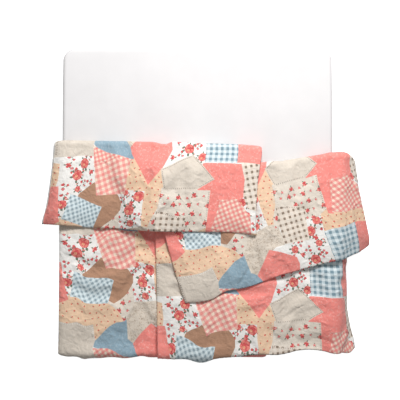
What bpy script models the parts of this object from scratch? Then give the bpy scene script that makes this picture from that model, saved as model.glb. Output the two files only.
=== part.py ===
"""Two filled single duvets in patchwork covers, each turned down at the head, lapped into each other on a mattress.

Metres, +Z up, +Y towards the head of the bed. The origin is the centre of the mattress's underside.

A duvet is worked out twice over. First it is laid on an unrolled bed: x and y run over the top of the mattress and
on over its edges as if they were flat, and w is the height above it. Then the bed is rolled back into shape, which
bends everything past an edge down the side. Layers that lie in order of w can't run into each other.
"""
import math

import bpy
import numpy as np

# The mattress
BED_WIDTH, BED_LENGTH, BED_HEIGHT = 1.80, 2.00, 0.24
BED_CORNER = 0.080          # radius of the four corners, seen from above
BED_EDGE = 0.030            # radius of the top and bottom edges
BED_BOW = 0.020             # share by which the sides draw in towards the corners
CORNER_STEPS, EDGE_STEPS, SIDE_STEPS = 6, 3, 6

# The duvets
DUVET_WIDTH, DUVET_LENGTH = 1.40, 2.00
BODY_LENGTH = 1.40          # about what lies below the fold
LOFT = 0.032                # thickness of the filled middle
SEAM = 0.007                # thickness at the sewn edge
TAPER = 0.055               # how far in from the edge the filling thins out
FOLD_LOFT = 0.78            # share of the thickness that is left where a duvet is folded back
DRAW_IN = 0.012             # how far the long sides draw in between their corners
SEAT = 0.0004               # clear height over the flat of the mattress, where a duvet rests on it
GAP = 0.006                 # clear height between two layers
EDGE_LIFT = 0.018           # how far the filling stands off the edges that it bends over
GRID_ACROSS, GRID_FLAP, GRID_BODY = 31, 15, 27
NOSE_STEPS = 6              # rows round the fold
TWIST_STEPS = 3             # further rows over which the flap turns to its own slope beside the bed

# How cloth goes over an edge of the mattress
ROLL = 0.060                # radius of the bend
ROLL_X = BED_WIDTH / 2 - BED_EDGE
ROLL_Y = BED_LENGTH / 2 - BED_EDGE
HANG_LEFT, HANG_RIGHT, HANG_FOOT = 28.0, 60.0, 58.0   # steepest slopes beside the bed, in degrees

# The raster of the heights that a layer rests on
CELL = 0.010
RASTER_X, RASTER_Y = (-1.35, 1.55), (-1.40, 0.65)
BRIDGE = {"left_body": 5, "right_body": 5, "right_flap": 5, "left_flap": 8}  # cells bridged beside a step

# Lines across each duvet on the unrolled bed, each from the left side to the right one as (share of width, x, y).
LEFT = {
    "foot": [(0.00, -0.916, -1.018), (0.04, -0.862, -1.050), (0.085, -0.800, -1.054), (0.13, -0.740, -1.098),
             (0.18, -0.672, -1.106), (0.25, -0.578, -1.082), (0.31, -0.496, -1.096), (0.39, -0.386, -1.060),
             (0.47, -0.276, -1.070), (0.70, 0.045, -1.072), (1.00, 0.460, -1.072)],
    "fold": [(0.00, -0.916, 0.366), (0.30, -0.516, 0.358), (0.70, 0.016, 0.346), (1.00, 0.418, 0.332)],
    "hem": [(0.00, -1.022, -0.174), (0.08, -0.908, -0.176), (0.25, -0.678, -0.196), (0.37, -0.518, -0.201),
            (0.54, -0.276, -0.216), (0.75, 0.015, -0.218), (0.92, 0.262, -0.226), (1.00, 0.380, -0.242)],
    "bow": (0.006, 0.0),
}
RIGHT = {
    "foot": [(0.00, -0.262, -1.012), (0.07, -0.165, -1.016), (0.16, -0.045, -1.022), (0.20, 0.020, -1.044),
             (0.26, 0.100, -1.018), (0.36, 0.240, -1.006), (0.50, 0.440, -0.998), (0.60, 0.580, -1.006),
             (0.72, 0.745, -0.996), (0.84, 0.910, -1.014), (0.93, 1.035, -1.030), (1.00, 1.130, -1.016)],
    "fold": [(0.00, -0.300, 0.110), (0.30, 0.118, 0.168), (0.50, 0.393, 0.212), (0.70, 0.668, 0.246),
             (0.80, 0.790, 0.266), (0.92, 0.946, 0.288), (1.00, 1.050, 0.262)],
    "hem": [(0.00, -0.079, -0.682), (0.12, 0.095, -0.658), (0.20, 0.182, -0.608), (0.30, 0.324, -0.580),
            (0.44, 0.514, -0.512), (0.61, 0.738, -0.453), (0.79, 0.960, -0.390), (1.00, 1.205, -0.324)],
    "bow": (-0.022, -0.018),
}

# Folds too big for the cloth to lose: (layer, start, end, height, half width), on the unrolled bed.
FOLDS = [
    ("right_flap", (0.985, 0.120), (1.170, -0.300), 0.016, 0.030),
    ("right_flap", (0.930, -0.060), (1.060, -0.370), 0.011, 0.028),
    ("right_flap", (0.835, 0.270), (0.850, -0.020), -0.009, 0.026),
    ("right_body", (0.800, -1.120), (1.010, -0.900), 0.012, 0.032),
    ("right_body", (0.930, -1.110), (1.110, -0.960), 0.010, 0.026),
    ("left_flap", (-0.900, -0.060), (-1.020, -0.170), 0.009, 0.026),
    ("left_body", (-0.800, -1.120), (-0.700, -0.960), 0.008, 0.030),
]


def through(points, share):
    """Smooth line through points of the form (share, x, y), read at each share."""
    p = np.array(points, float)
    knots, values = p[:, 0], p[:, 1:]
    slope = np.gradient(values, knots, axis=0)
    i = np.clip(np.searchsorted(knots, share) - 1, 0, len(knots) - 2)
    h = (knots[i + 1] - knots[i])[:, None]
    t = ((share - knots[i]) / h[:, 0])[:, None]
    return ((1 + 2 * t) * (1 - t) ** 2 * values[i] + t * (1 - t) ** 2 * h * slope[i]
            + t * t * (3 - 2 * t) * values[i + 1] - t * t * (1 - t) * h * slope[i + 1])


def smooth(x):
    x = np.clip(x, 0, 1)
    return x * x * (3 - 2 * x)


def plan(start, end, bow, across, along):
    """Points of a layer between two lines across it, with the sides drawn in. Shapes (along, across)."""
    a, b = through(start, across), through(end, across)
    t, s = along[:, None], across[None, :]
    xy = a[None] * (1 - t[..., None]) + b[None] * t[..., None]
    mid = 4 * t * (1 - t)
    xy[..., 0] += mid * (bow[0] * (1 - s) + bow[1] * s + DRAW_IN * (1 - 2 * s) ** 3)
    return xy


def thickness(across, along, length, folded_at_end):
    """Loft of a layer: thin at its sewn sides and end, a little thinner at the fold. Shapes (along, across)."""
    side = np.minimum(across, 1 - across)[None, :] * DUVET_WIDTH
    end = (along * length)[:, None]
    fold = ((1 - along) * length)[:, None]
    if not folded_at_end:
        end, fold = fold, end
    edge = 1 / (1 / (side + 1e-4) ** 3 + 1 / (end + 1e-4) ** 3) ** (1 / 3)
    full = SEAM + (LOFT - SEAM) * (1 - np.exp(-edge / TAPER))
    return full * (FOLD_LOFT + (1 - FOLD_LOFT) * smooth(fold / 0.14))


def folds(layer, xy):
    """Height that the named folds add to a layer."""
    add = np.zeros(xy.shape[:2])
    for name, start, end, height, half in FOLDS:
        if name != layer:
            continue
        start, axis = np.array(start), np.array(end) - np.array(start)
        length = np.linalg.norm(axis)
        rel = (xy - start) @ axis / length
        off = np.abs((xy - start) @ np.array([-axis[1], axis[0]])) / length
        ends = smooth((rel + 0.05) / 0.10) * smooth((length + 0.05 - rel) / 0.10)
        add += height * ends * np.exp(-(off / half) ** 2)
    return add


class Raster:
    """The top of all that lies on the unrolled bed so far."""

    def __init__(self):
        self.top = np.zeros([round((hi - lo) / CELL) for lo, hi in (RASTER_X, RASTER_Y)])

    def add(self, xy, top):
        i = np.round((xy[..., 0] - RASTER_X[0]) / CELL).astype(int)
        j = np.round((xy[..., 1] - RASTER_Y[0]) / CELL).astype(int)
        np.maximum.at(self.top, (i, j), top)

    def bridged(self, cells):
        """The same, with each step spread out sideways as stiff cloth would, and nowhere lower than it was."""
        field = self.top.copy()
        for axis in (0, 1):
            field = np.max([np.roll(field, k, axis) for k in range(-2 * cells, 2 * cells + 1)], axis=0)
        for axis in (0, 1) * 2:
            field = np.mean([np.roll(field, k, axis) for k in range(-cells, cells + 1)], axis=0)
        return field

    @staticmethod
    def read(field, xy):
        x = (xy[..., 0] - RASTER_X[0]) / CELL
        y = (xy[..., 1] - RASTER_Y[0]) / CELL
        i, j = np.floor(x).astype(int), np.floor(y).astype(int)
        fx, fy = x - i, y - j
        return ((field[i, j] * (1 - fx) + field[i + 1, j] * fx) * (1 - fy)
                + (field[i, j + 1] * (1 - fx) + field[i + 1, j + 1] * fx) * fy)


def clearance(support, xy):
    """Height of a layer's underside: seated on the bare mattress, a little apart over a lower layer and the edges."""
    past_side = smooth((np.abs(xy[..., 0]) - ROLL_X + 0.12) / 0.14)
    past_foot = smooth((-xy[..., 1] - ROLL_Y + 0.12) / 0.14)
    return support + SEAT + (GAP - SEAT) * smooth(support / GAP) + EDGE_LIFT * np.maximum(past_side, past_foot)


def rest(raster, layer, shape, body):
    """Lays a layer on what is there, adds it to the raster, and returns its middle heights on the coarse grid."""
    field = raster.bridged(BRIDGE[layer])
    middle = []
    for across, along in ((np.linspace(0, 1, 281), np.linspace(0, 1, 361)), shape):
        xy = layer_plan(layer, body, across, along)
        loft = layer_loft(layer, body, across, along)
        low = clearance(Raster.read(field, xy), xy) + folds(layer, xy)
        middle.append((xy, low + loft / 2, loft))
    xy, mid, loft = middle[0]
    raster.add(xy, mid + loft / 2)
    return middle[1]


def layer_plan(layer, shape, across, along):
    if layer.endswith("body"):
        return plan(shape["foot"], shape["fold"], (0, 0), across, along)
    return plan(shape["fold"], shape["hem"], shape["bow"], across, along)


def layer_loft(layer, shape, across, along):
    length = BODY_LENGTH if layer.endswith("body") else DUVET_LENGTH - BODY_LENGTH
    return thickness(across, along, length, layer.endswith("body"))


def rows(count, dense_start, dense_end):
    """Evenly spread shares from 0 to 1, drawn closer together towards the ends that ask for it."""
    t = np.linspace(0, 1, count)
    return t - (dense_start * np.sin(math.pi * t) * (1 - t) - dense_end * np.sin(math.pi * t) * t) / math.pi


def duvet_middle(body, flap, across):
    """Joins body and flap round the fold: middle surface (x, y, w) and loft, rows from the foot to the flap's hem."""
    (xy_b, w_b, loft_b), (xy_f, w_f, loft_f) = body, flap
    half = (w_f[0] - w_b[-1]) / 2
    out = xy_b[-1] - xy_b[-2]
    out /= np.linalg.norm(out, axis=1)[:, None]
    shrink_b = smooth((np.linspace(0, 1, len(xy_b)) - 0.6) / 0.4)[:, None]
    shrink_f = smooth(1 - np.linspace(0, 1, len(xy_f)) / 0.5)[:, None]
    xy_b = xy_b - (half[None, :] * shrink_b)[..., None] * out[None]
    xy_f = xy_f - (half[None, :] * shrink_f)[..., None] * out[None]
    line, loft = [np.dstack([xy_b, w_b])], [loft_b]
    for k in range(1, NOSE_STEPS):
        turn = math.pi * k / NOSE_STEPS
        xy = xy_b[-1] + (half * math.sin(turn))[:, None] * out
        w = w_b[-1] + half * (1 - math.cos(turn))
        line.append(np.dstack([xy[None], w[None]]))
        loft.append(loft_b[-1:])
    return np.vstack(line + [np.dstack([xy_f, w_f])]), np.vstack(loft + [loft_f])


def roll(points, side_limit, foot_limit):
    """Rolls the unrolled bed back: bends what lies past its left, right and foot edges down the sides."""
    x, y, w = points[..., 0], points[..., 1], points[..., 2]
    past_x, past_y = np.maximum(np.abs(x) - ROLL_X, 0), np.maximum(-y - ROLL_Y, 0)
    turn_x = np.minimum(past_x / ROLL, side_limit)
    turn_y = np.minimum(past_y / ROLL, foot_limit)
    out_x = ROLL * np.sin(turn_x) + (past_x - ROLL * turn_x) * np.cos(turn_x) + w * np.sin(turn_x)
    out_y = ROLL * np.sin(turn_y) + (past_y - ROLL * turn_y) * np.cos(turn_y) + w * np.sin(turn_y)
    drop_x = ROLL * (1 - np.cos(turn_x)) + (past_x - ROLL * turn_x) * np.sin(turn_x)
    drop_y = ROLL * (1 - np.cos(turn_y)) + (past_y - ROLL * turn_y) * np.sin(turn_y)
    drop = (drop_x ** 2.2 + drop_y ** 2.2) ** (1 / 2.2)
    new_x = np.where(past_x > 0, np.sign(x) * (ROLL_X + out_x), x)
    new_y = np.where(past_y > 0, -(ROLL_Y + out_y), y)
    return np.dstack([new_x, new_y, BED_HEIGHT + w * np.cos(turn_x) * np.cos(turn_y) - drop])


def limits(points, on_flap):
    """How steeply each point may hang: flared at the foot corner and on a flap, most of all at the flap's corner."""
    x, y = points[..., 0], points[..., 1]
    at_foot, at_corner = smooth((-0.72 - y) / 0.35), smooth((0.12 - y) / 0.42)
    right = HANG_RIGHT - 18 * at_foot - on_flap * (22 + 4 * at_corner)
    side = np.where(x < 0, HANG_LEFT, right)
    return np.radians(side), np.radians(HANG_FOOT + 6 * smooth((x + 0.2) / 0.6))


def duvet_shell(middle, loft, flap_from):
    """Top and bottom surfaces of a duvet as grids of points on the real bed."""
    normal = np.cross(np.gradient(middle, axis=1), np.gradient(middle, axis=0))
    normal /= np.linalg.norm(normal, axis=2)[..., None]
    on_flap = smooth((np.arange(len(middle)) - flap_from) / (NOSE_STEPS + TWIST_STEPS))[:, None]
    side, foot = limits(middle, on_flap)
    half = (loft / 2)[..., None]
    return [roll(middle + sign * half * normal, side, foot) for sign in (1, -1)]


def closed_mesh(name, top, bottom, colour):
    """One closed body of two grids joined round their rim."""
    lines, cols = top.shape[:2]
    count = lines * cols
    points = np.vstack([top.reshape(-1, 3), bottom.reshape(-1, 3)])
    cells = [(j * cols + i, j * cols + i + 1, (j + 1) * cols + i + 1, (j + 1) * cols + i)
             for j in range(lines - 1) for i in range(cols - 1)]
    faces = [f for a, b, c, d in cells for f in ((a, b, c), (a, c, d))]
    faces += [tuple(count + k for k in reversed(f)) for f in faces]
    ring = list(range(cols)) + [j * cols + cols - 1 for j in range(1, lines)]
    ring += [(lines - 1) * cols + i for i in range(cols - 2, -1, -1)] + [j * cols for j in range(lines - 2, 0, -1)]
    for a, b in zip(ring, ring[1:] + ring[:1]):
        faces += [(b, a, count + a), (b, count + a, count + b)]
    return add_object(name, points, faces, colour)


def add_object(name, points, faces, colour):
    mesh = bpy.data.meshes.new(name)
    mesh.from_pydata([tuple(p) for p in points], [], faces)
    mesh.validate()
    obj = bpy.data.objects.new(name, mesh)
    bpy.context.collection.objects.link(obj)
    material = bpy.data.materials.new(name)
    material.use_nodes = True
    shader = material.node_tree.nodes["Principled BSDF"]
    shader.inputs["Base Color"].default_value = (*colour, 1)
    shader.inputs["Roughness"].default_value = 0.9
    mesh.materials.append(material)
    return obj


def mattress():
    """Soft block, flat below and on top, with rounded corners and edges and sides that bow out a little."""
    half_x, half_y = BED_WIDTH / 2 - BED_CORNER, BED_LENGTH / 2 - BED_CORNER
    outline = []
    for quarter, (sx, sy) in enumerate(((1, 1), (-1, 1), (-1, -1), (1, -1))):
        for k in range(CORNER_STEPS + 1):
            turn = math.pi / 2 * (quarter + k / CORNER_STEPS)
            outline.append((sx * half_x, sy * half_y, math.cos(turn), math.sin(turn)))
        next_x, next_y = (-sx * half_x, sy * half_y) if quarter % 2 == 0 else (sx * half_x, -sy * half_y)
        turn = math.pi / 2 * (quarter + 1)
        for k in range(1, SIDE_STEPS):
            t = k / SIDE_STEPS
            outline.append((sx * half_x * (1 - t) + next_x * t, sy * half_y * (1 - t) + next_y * t,
                            math.cos(turn), math.sin(turn)))
    levels = []
    for k in range(2 * EDGE_STEPS + 2):
        upper = k > EDGE_STEPS
        turn = math.pi / 2 * ((k - EDGE_STEPS - 1) if upper else (k - EDGE_STEPS)) / EDGE_STEPS
        z = (BED_HEIGHT - BED_EDGE if upper else BED_EDGE) + BED_EDGE * math.sin(turn)
        levels.append((BED_EDGE * (1 - math.cos(turn)), z))
    points = []
    for inset, z in levels:
        for cx, cy, nx, ny in outline:
            x, y = cx + (BED_CORNER - inset) * nx, cy + (BED_CORNER - inset) * ny
            points.append((x * (1 - BED_BOW * (2 * y / BED_LENGTH) ** 2), y * (1 - BED_BOW * (2 * x / BED_WIDTH) ** 2), z))
    n = len(outline)
    faces = []
    for j in range(len(levels) - 1):
        for i in range(n):
            a, b = j * n + i, j * n + (i + 1) % n
            faces += [(a, b, b + n), (a, b + n, a + n)]
    faces += [tuple(range(n))[::-1], tuple(range((len(levels) - 1) * n, len(levels) * n))]
    return add_object("mattress", points, faces, (0.90, 0.89, 0.88))


def duvets():
    """Lays the four layers in the order in which they were put down, then joins each body to its flap."""
    raster = Raster()
    across = {"left": rows(GRID_ACROSS, 0.25, 0.0), "right": rows(GRID_ACROSS + 4, 0.0, 0.35)}
    body_rows, flap_rows = rows(GRID_BODY, 0.30, 0.0), rows(GRID_FLAP, 0.0, 0.0)
    laid = {}
    for layer in ("left_body", "right_body", "right_flap", "left_flap"):
        side, part = layer.split("_")
        shape = LEFT if side == "left" else RIGHT
        laid[layer] = rest(raster, layer, (across[side], body_rows if part == "body" else flap_rows), shape)
    for side, colour in (("left", (0.80, 0.45, 0.40)), ("right", (0.62, 0.70, 0.74))):
        middle, loft = duvet_middle(laid[side + "_body"], laid[side + "_flap"], across[side])
        top, bottom = duvet_shell(middle, loft, len(body_rows) - 1)
        closed_mesh("duvet_" + side, top, bottom, colour)


def main():
    for obj in list(bpy.data.objects):
        bpy.data.objects.remove(obj)
    mattress()
    duvets()


main()
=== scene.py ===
# %% [markdown]
# # Two single duvets in patchwork covers, lapped over a mattress
#
# This lesson makes filled duvets the way that they are sewn: a flat print is cut out as one sheet for each side of
# a cover, and the sheet is then wrapped round the filling, fold and all. A print could also be painted by a shader on
# a plain sheet, but cut shapes keep the edges of petals and patches crisp without an image. We begin with the packed
# frame, which holds the three solids, in metres, with +Z up and +Y towards the head of the bed.

# %% Load the frame
import math
import random

import bpy
import numpy as np
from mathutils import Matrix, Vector
from mathutils.geometry import delaunay_2d_cdt
from mathutils.kdtree import KDTree


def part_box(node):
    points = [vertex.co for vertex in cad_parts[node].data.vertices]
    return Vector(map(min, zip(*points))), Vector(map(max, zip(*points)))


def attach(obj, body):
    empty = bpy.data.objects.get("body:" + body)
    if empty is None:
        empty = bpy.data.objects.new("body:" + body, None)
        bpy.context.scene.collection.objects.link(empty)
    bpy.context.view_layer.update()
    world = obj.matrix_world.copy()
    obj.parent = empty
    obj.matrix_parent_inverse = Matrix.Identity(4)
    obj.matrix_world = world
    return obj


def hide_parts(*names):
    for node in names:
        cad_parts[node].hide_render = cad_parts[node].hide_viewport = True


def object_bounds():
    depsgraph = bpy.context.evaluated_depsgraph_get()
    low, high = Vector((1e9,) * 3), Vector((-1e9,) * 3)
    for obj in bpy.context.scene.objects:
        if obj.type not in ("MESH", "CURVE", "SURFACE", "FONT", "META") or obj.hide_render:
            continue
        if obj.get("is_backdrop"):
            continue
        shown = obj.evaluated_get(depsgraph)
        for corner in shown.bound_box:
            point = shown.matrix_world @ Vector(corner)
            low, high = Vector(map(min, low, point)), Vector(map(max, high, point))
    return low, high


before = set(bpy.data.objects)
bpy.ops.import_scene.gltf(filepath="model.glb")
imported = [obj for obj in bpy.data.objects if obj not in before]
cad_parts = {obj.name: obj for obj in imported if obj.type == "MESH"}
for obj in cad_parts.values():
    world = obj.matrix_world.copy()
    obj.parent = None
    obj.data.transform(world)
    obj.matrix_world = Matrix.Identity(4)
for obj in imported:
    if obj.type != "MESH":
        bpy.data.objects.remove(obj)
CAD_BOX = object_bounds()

print("nodes:", sorted(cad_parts), "box:", [[round(c, 3) for c in corner] for corner in CAD_BOX])

# %% [markdown]
# ## The photograph's view
#
# The picture is taken from straight above. An orthographic camera would do for a flat plan, but a real lens shows the
# high parts a little larger, which the heap of the folded duvets needs. A long lens keeps the sides of the bed out of
# sight, so the distance is set first, and the field of view follows from how many pixels a metre takes up on top of
# the mattress.

# %% Camera
BED_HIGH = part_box("mattress")[1]     # its low corner lies opposite, on the floor
BED_TOP = BED_HIGH[2]
CAMERA_DISTANCE = 4.0          # above the top of the mattress
PICTURE = 400                  # pixels on each side of the picture
PIXELS_PER_METRE = 151.0       # on top of the mattress
CAMERA_X, CAMERA_Y = 0.0168, -0.013


def add_camera():
    """Camera that looks straight down."""
    data = bpy.data.cameras.new("camera")
    camera = bpy.data.objects.new("camera", data)
    bpy.context.collection.objects.link(camera)
    camera.location = (CAMERA_X, CAMERA_Y, BED_TOP + CAMERA_DISTANCE)
    data.angle = 2 * math.atan(PICTURE / PIXELS_PER_METRE / 2 / CAMERA_DISTANCE)
    data.clip_end = 50
    bpy.context.scene.camera = camera
    return camera


camera = add_camera()
print("camera at", tuple(round(c, 3) for c in camera.location), "angle", round(math.degrees(camera.data.angle), 1))

# %% [markdown]
# ## Colours and shader nodes
#
# Colours are written as the hex values that a painter would pick from a screen. Shaders work in linear light, where
# the same numbers would look washed out, so one function turns each colour. A second function adds any shader node,
# with its settings and with what goes into it, which keeps a material as short as a recipe.

# %% Helpers for materials
def linear(code):
    """Linear colour of an sRGB hex code such as F0E0D0."""
    parts = [int(code[i:i + 2], 16) / 255 for i in (0, 2, 4)]
    return (*[c / 12.92 if c <= 0.04045 else ((c + 0.055) / 1.055) ** 2.4 for c in parts], 1.0)


def add_node(tree, kind, inputs=None, **settings):
    """Adds a shader node. inputs maps each socket to a value, an output socket, or a node for its first output."""
    node = tree.nodes.new(kind)
    for name, value in settings.items():
        setattr(node, name, value)
    for socket, value in (inputs or {}).items():
        value = value.outputs[0] if isinstance(value, bpy.types.Node) else value
        if isinstance(value, bpy.types.NodeSocket):
            tree.links.new(value, node.inputs[socket])
        else:
            node.inputs[socket].default_value = value
    return node


def new_material(name, **sockets):
    """A material whose shader has even values on its own sockets, such as Roughness."""
    material = bpy.data.materials.new(name)
    material.use_nodes = True
    shader = material.node_tree.nodes["Principled BSDF"]
    for socket, value in sockets.items():
        shader.inputs[socket.replace("_", " ")].default_value = value
    return material, material.node_tree, shader


print("coral in linear light:", [round(c, 3) for c in linear("F99188")])

# %% [markdown]
# ## How the duvets lie
#
# Each duvet is folded once: its body lies face up from the foot to the fold, and its head end is turned back over it
# as a flap. The shapes could be sculpted by hand, but then the cloth would stretch. So the CAD solids are laid on an
# unrolled bed, where the cloth past an edge of the mattress is still flat, and the bed is then rolled back into shape.
# The same sizes are used here with many more points, and the filling is pressed flatter where it bends at the foot.

# %% Sizes of a duvet
DUVET_WIDTH, DUVET_LENGTH = 1.40, 2.00
BODY_LENGTH = 1.40             # about, from the foot end to the fold
LOFT = 0.032                   # thickness of the filled duvet in its middle
SEAM = 0.007                   # thickness just inside a seam
TAPER = 0.055                  # how far from a seam the filling swells up to its loft
FOLD_LOFT = 0.78               # share of the loft that is left beside the fold
BEND_PRESS = 0.45              # share of the loft that is pressed out where the foot end bends down
DRAW_IN = 0.012                # how far a side is drawn in between its corners
SEAT, GAP = 0.0004, 0.006      # clearance on the mattress, and on another layer
EDGE_LIFT = 0.018              # extra clearance beyond the sides and the foot of the mattress
ROLL, BED_EDGE = 0.060, 0.030  # radius of the bend, and how far inside the mattress's side it starts
ROLL_X, ROLL_Y = BED_HIGH[0] - BED_EDGE, BED_HIGH[1] - BED_EDGE
HANG_LEFT, HANG_RIGHT, HANG_FOOT = 28.0, 60.0, 58.0   # steepest slopes beside the bed, in degrees
CELL = 0.010                   # cells of the raster of heights, and its range
RASTER_X, RASTER_Y = (-1.35, 1.55), (-1.40, 0.65)
BRIDGE = {"left_body": 5, "right_body": 5, "right_flap": 5, "left_flap": 8}   # cells that a layer bridges
print("a duvet is", DUVET_WIDTH, "by", DUVET_LENGTH, "m and", LOFT * 1000, "mm thick in the middle")

# %% [markdown]
# Three lines across a duvet say how it lies: its foot end, its fold and the hem of its flap. The ends wave as those of
# a real duvet do, because its filling is never spread quite evenly. A table is the shortest way to keep such a line.

# %% Lines of the duvets
# Each line has points (share of the width, x, y). The bow says how far the left and the right side of the flap bulge
# towards +x in their middle.
LEFT = {
    "foot": [(0.00, -0.916, -1.018), (0.04, -0.862, -1.050), (0.085, -0.800, -1.054), (0.13, -0.740, -1.098),
             (0.18, -0.672, -1.106), (0.25, -0.578, -1.082), (0.31, -0.496, -1.096), (0.39, -0.386, -1.060),
             (0.47, -0.276, -1.070), (0.70, 0.045, -1.072), (1.00, 0.460, -1.072)],
    "fold": [(0.00, -0.916, 0.366), (0.30, -0.516, 0.358), (0.70, 0.016, 0.346), (1.00, 0.418, 0.332)],
    "hem": [(0.00, -1.022, -0.174), (0.08, -0.908, -0.176), (0.25, -0.678, -0.196), (0.37, -0.518, -0.201),
            (0.54, -0.276, -0.216), (0.75, 0.015, -0.218), (0.92, 0.262, -0.226), (1.00, 0.380, -0.242)],
    "bow": (0.006, 0.0),
}
RIGHT = {
    "foot": [(0.00, -0.262, -1.012), (0.07, -0.165, -1.016), (0.16, -0.045, -1.022), (0.20, 0.020, -1.044),
             (0.26, 0.100, -1.018), (0.36, 0.240, -1.006), (0.50, 0.440, -0.998), (0.60, 0.580, -1.006),
             (0.72, 0.745, -0.996), (0.84, 0.910, -1.014), (0.93, 1.035, -1.030), (1.00, 1.130, -1.016)],
    "fold": [(0.00, -0.300, 0.110), (0.30, 0.118, 0.168), (0.50, 0.393, 0.212), (0.70, 0.668, 0.246),
             (0.80, 0.790, 0.266), (0.92, 0.946, 0.288), (1.00, 1.050, 0.262)],
    "hem": [(0.00, -0.079, -0.682), (0.12, 0.095, -0.658), (0.20, 0.182, -0.608), (0.30, 0.324, -0.580),
            (0.44, 0.514, -0.512), (0.61, 0.738, -0.453), (0.79, 0.960, -0.390), (1.00, 1.205, -0.324)],
    "bow": (-0.022, -0.018),
}
for name, lines in (("left", LEFT), ("right", RIGHT)):
    print(name, "duvet's lines have", [len(lines[part]) for part in ("foot", "fold", "hem")], "points")

# %% [markdown]
# A made bed keeps the marks of the hands that laid it: large folds where the cloth was pulled over a corner, and
# sharp little creases where it was tugged. A simulation would put them anywhere, so the ones that catch the eye are
# listed. A height below zero makes a trough.

# %% Folds and creases
# Each is (layer, start, end, height, half width).
FOLDS = [
    ("right_flap", (0.985, 0.120), (1.170, -0.300), 0.016, 0.030),
    ("right_flap", (0.930, -0.060), (1.060, -0.370), 0.011, 0.028),
    ("right_flap", (0.835, 0.270), (0.850, -0.020), -0.009, 0.026),
    ("right_body", (0.800, -1.120), (1.010, -0.900), 0.012, 0.032),
    ("right_body", (0.930, -1.110), (1.110, -0.960), 0.010, 0.026),
    ("left_flap", (-0.900, -0.060), (-1.020, -0.170), 0.009, 0.026),
    ("left_body", (-0.800, -1.120), (-0.700, -0.960), 0.008, 0.030),
]
CREASES = [
    ("right_flap", (0.343, -0.443), (0.251, -0.587), -0.006, 0.011),
    ("right_flap", (-0.262, -0.225), (-0.236, -0.339), -0.005, 0.010),
    ("right_flap", (-0.222, -0.225), (-0.196, -0.330), -0.004, 0.010),
    ("right_flap", (0.900, -0.060), (0.955, -0.145), -0.006, 0.011),
    ("right_flap", (0.960, -0.050), (1.050, -0.160), -0.006, 0.011),
    ("right_flap", (0.532, 0.210), (0.590, 0.190), -0.005, 0.012),
    ("right_flap", (0.620, -0.130), (0.700, -0.290), -0.004, 0.013),
    ("right_flap", (0.140, -0.080), (0.330, -0.120), 0.004, 0.014),
    ("right_body", (0.571, -0.782), (0.747, -0.665), -0.006, 0.011),
    ("right_body", (0.500, -0.700), (0.640, -0.640), 0.004, 0.013),
    ("right_body", (-0.190, -0.560), (-0.110, -0.450), -0.005, 0.011),
    ("right_body", (-0.150, -0.640), (0.020, -0.560), -0.004, 0.012),
    ("right_body", (0.060, -1.000), (0.100, -0.800), -0.004, 0.014),
    ("left_flap", (-0.798, 0.261), (-0.726, 0.313), -0.006, 0.011),
    ("left_flap", (0.343, 0.300), (0.388, 0.209), -0.006, 0.011),
    ("left_flap", (0.375, 0.085), (0.395, -0.222), -0.006, 0.011),
    ("left_flap", (-0.916, -0.065), (-1.000, -0.156), -0.006, 0.011),
    ("left_flap", (-0.430, 0.200), (-0.300, 0.060), 0.004, 0.016),
    ("left_flap", (-0.100, 0.020), (0.020, -0.140), -0.004, 0.013),
    ("left_body", (-0.330, -0.900), (-0.240, -0.700), -0.005, 0.012),
    ("left_body", (-0.700, -0.900), (-0.560, -0.840), 0.004, 0.014),
    ("left_body", (-0.380, -0.300), (-0.340, -0.420), -0.005, 0.011),
]
print(len(FOLDS), "large folds and", len(CREASES), "creases are placed by hand")

# %% [markdown]
# First we need the flat plan of a layer. Each of its ends is a smooth line through the points above. A free end waves,
# and the waves have to die out inside the cloth, because the threads further in lie straight. So the wave is split off
# from the line and fades over a hand's width.

# %% Plan of a layer
HEM_WAVE = 0.09                # how far the waves of a free end reach into the cloth
ACROSS = np.linspace(0, 1, 281)
BODY_ROWS, FLAP_ROWS, RASTER_ROWS = (np.linspace(0, 1, count) for count in (301, 161, 361))


def smooth(x):
    """Soft step from 0 to 1."""
    x = np.clip(x, 0, 1)
    return x * x * (3 - 2 * x)


def through(points, share):
    """Smooth line through points of the form (share, x, y), read at each share."""
    p = np.array(points, float)
    knots, values = p[:, 0], p[:, 1:]
    slope = np.gradient(values, knots, axis=0)
    i = np.clip(np.searchsorted(knots, share) - 1, 0, len(knots) - 2)
    h = (knots[i + 1] - knots[i])[:, None]
    t = ((share - knots[i]) / h[:, 0])[:, None]
    return ((1 + 2 * t) * (1 - t) ** 2 * values[i] + t * (1 - t) ** 2 * h * slope[i]
            + t * t * (3 - 2 * t) * values[i + 1] - t * t * (1 - t) * h * slope[i + 1])


def hem_wave(body, shape, across):
    """How far the free end of a layer strays from a smooth line, as a vector and along the cloth."""
    free, fold = through(shape["foot" if body else "hem"], across), through(shape["fold"], across)
    wave = free - np.stack([np.polyval(np.polyfit(across, free[:, k], 2), across) for k in (0, 1)], axis=1)
    way = (fold - free) * (1 if body else -1)
    return wave, (wave * way).sum(axis=1) / np.linalg.norm(way, axis=1)


def layer_plan(layer, shape, across, along):
    """Where a layer lies on the unrolled bed, from one line across it to the next."""
    body = layer.endswith("body")
    a = through(shape["foot" if body else "fold"], across)
    b = through(shape["fold" if body else "hem"], across)
    bow = (0, 0) if body else shape["bow"]
    t, s = along[:, None], across[None, :]
    wave = hem_wave(body, shape, across)[0]
    a, b = (a - wave, b) if body else (a, b - wave)
    reach = np.exp(-(t if body else 1 - t) * (BODY_LENGTH if body else DUVET_LENGTH - BODY_LENGTH) / HEM_WAVE)
    xy = a[None] * (1 - t[..., None]) + b[None] * t[..., None] + wave[None] * reach[..., None]
    xy[..., 0] += 4 * t * (1 - t) * (bow[0] * (1 - s) + bow[1] * s + DRAW_IN * (1 - 2 * s) ** 3)
    return xy


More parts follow.
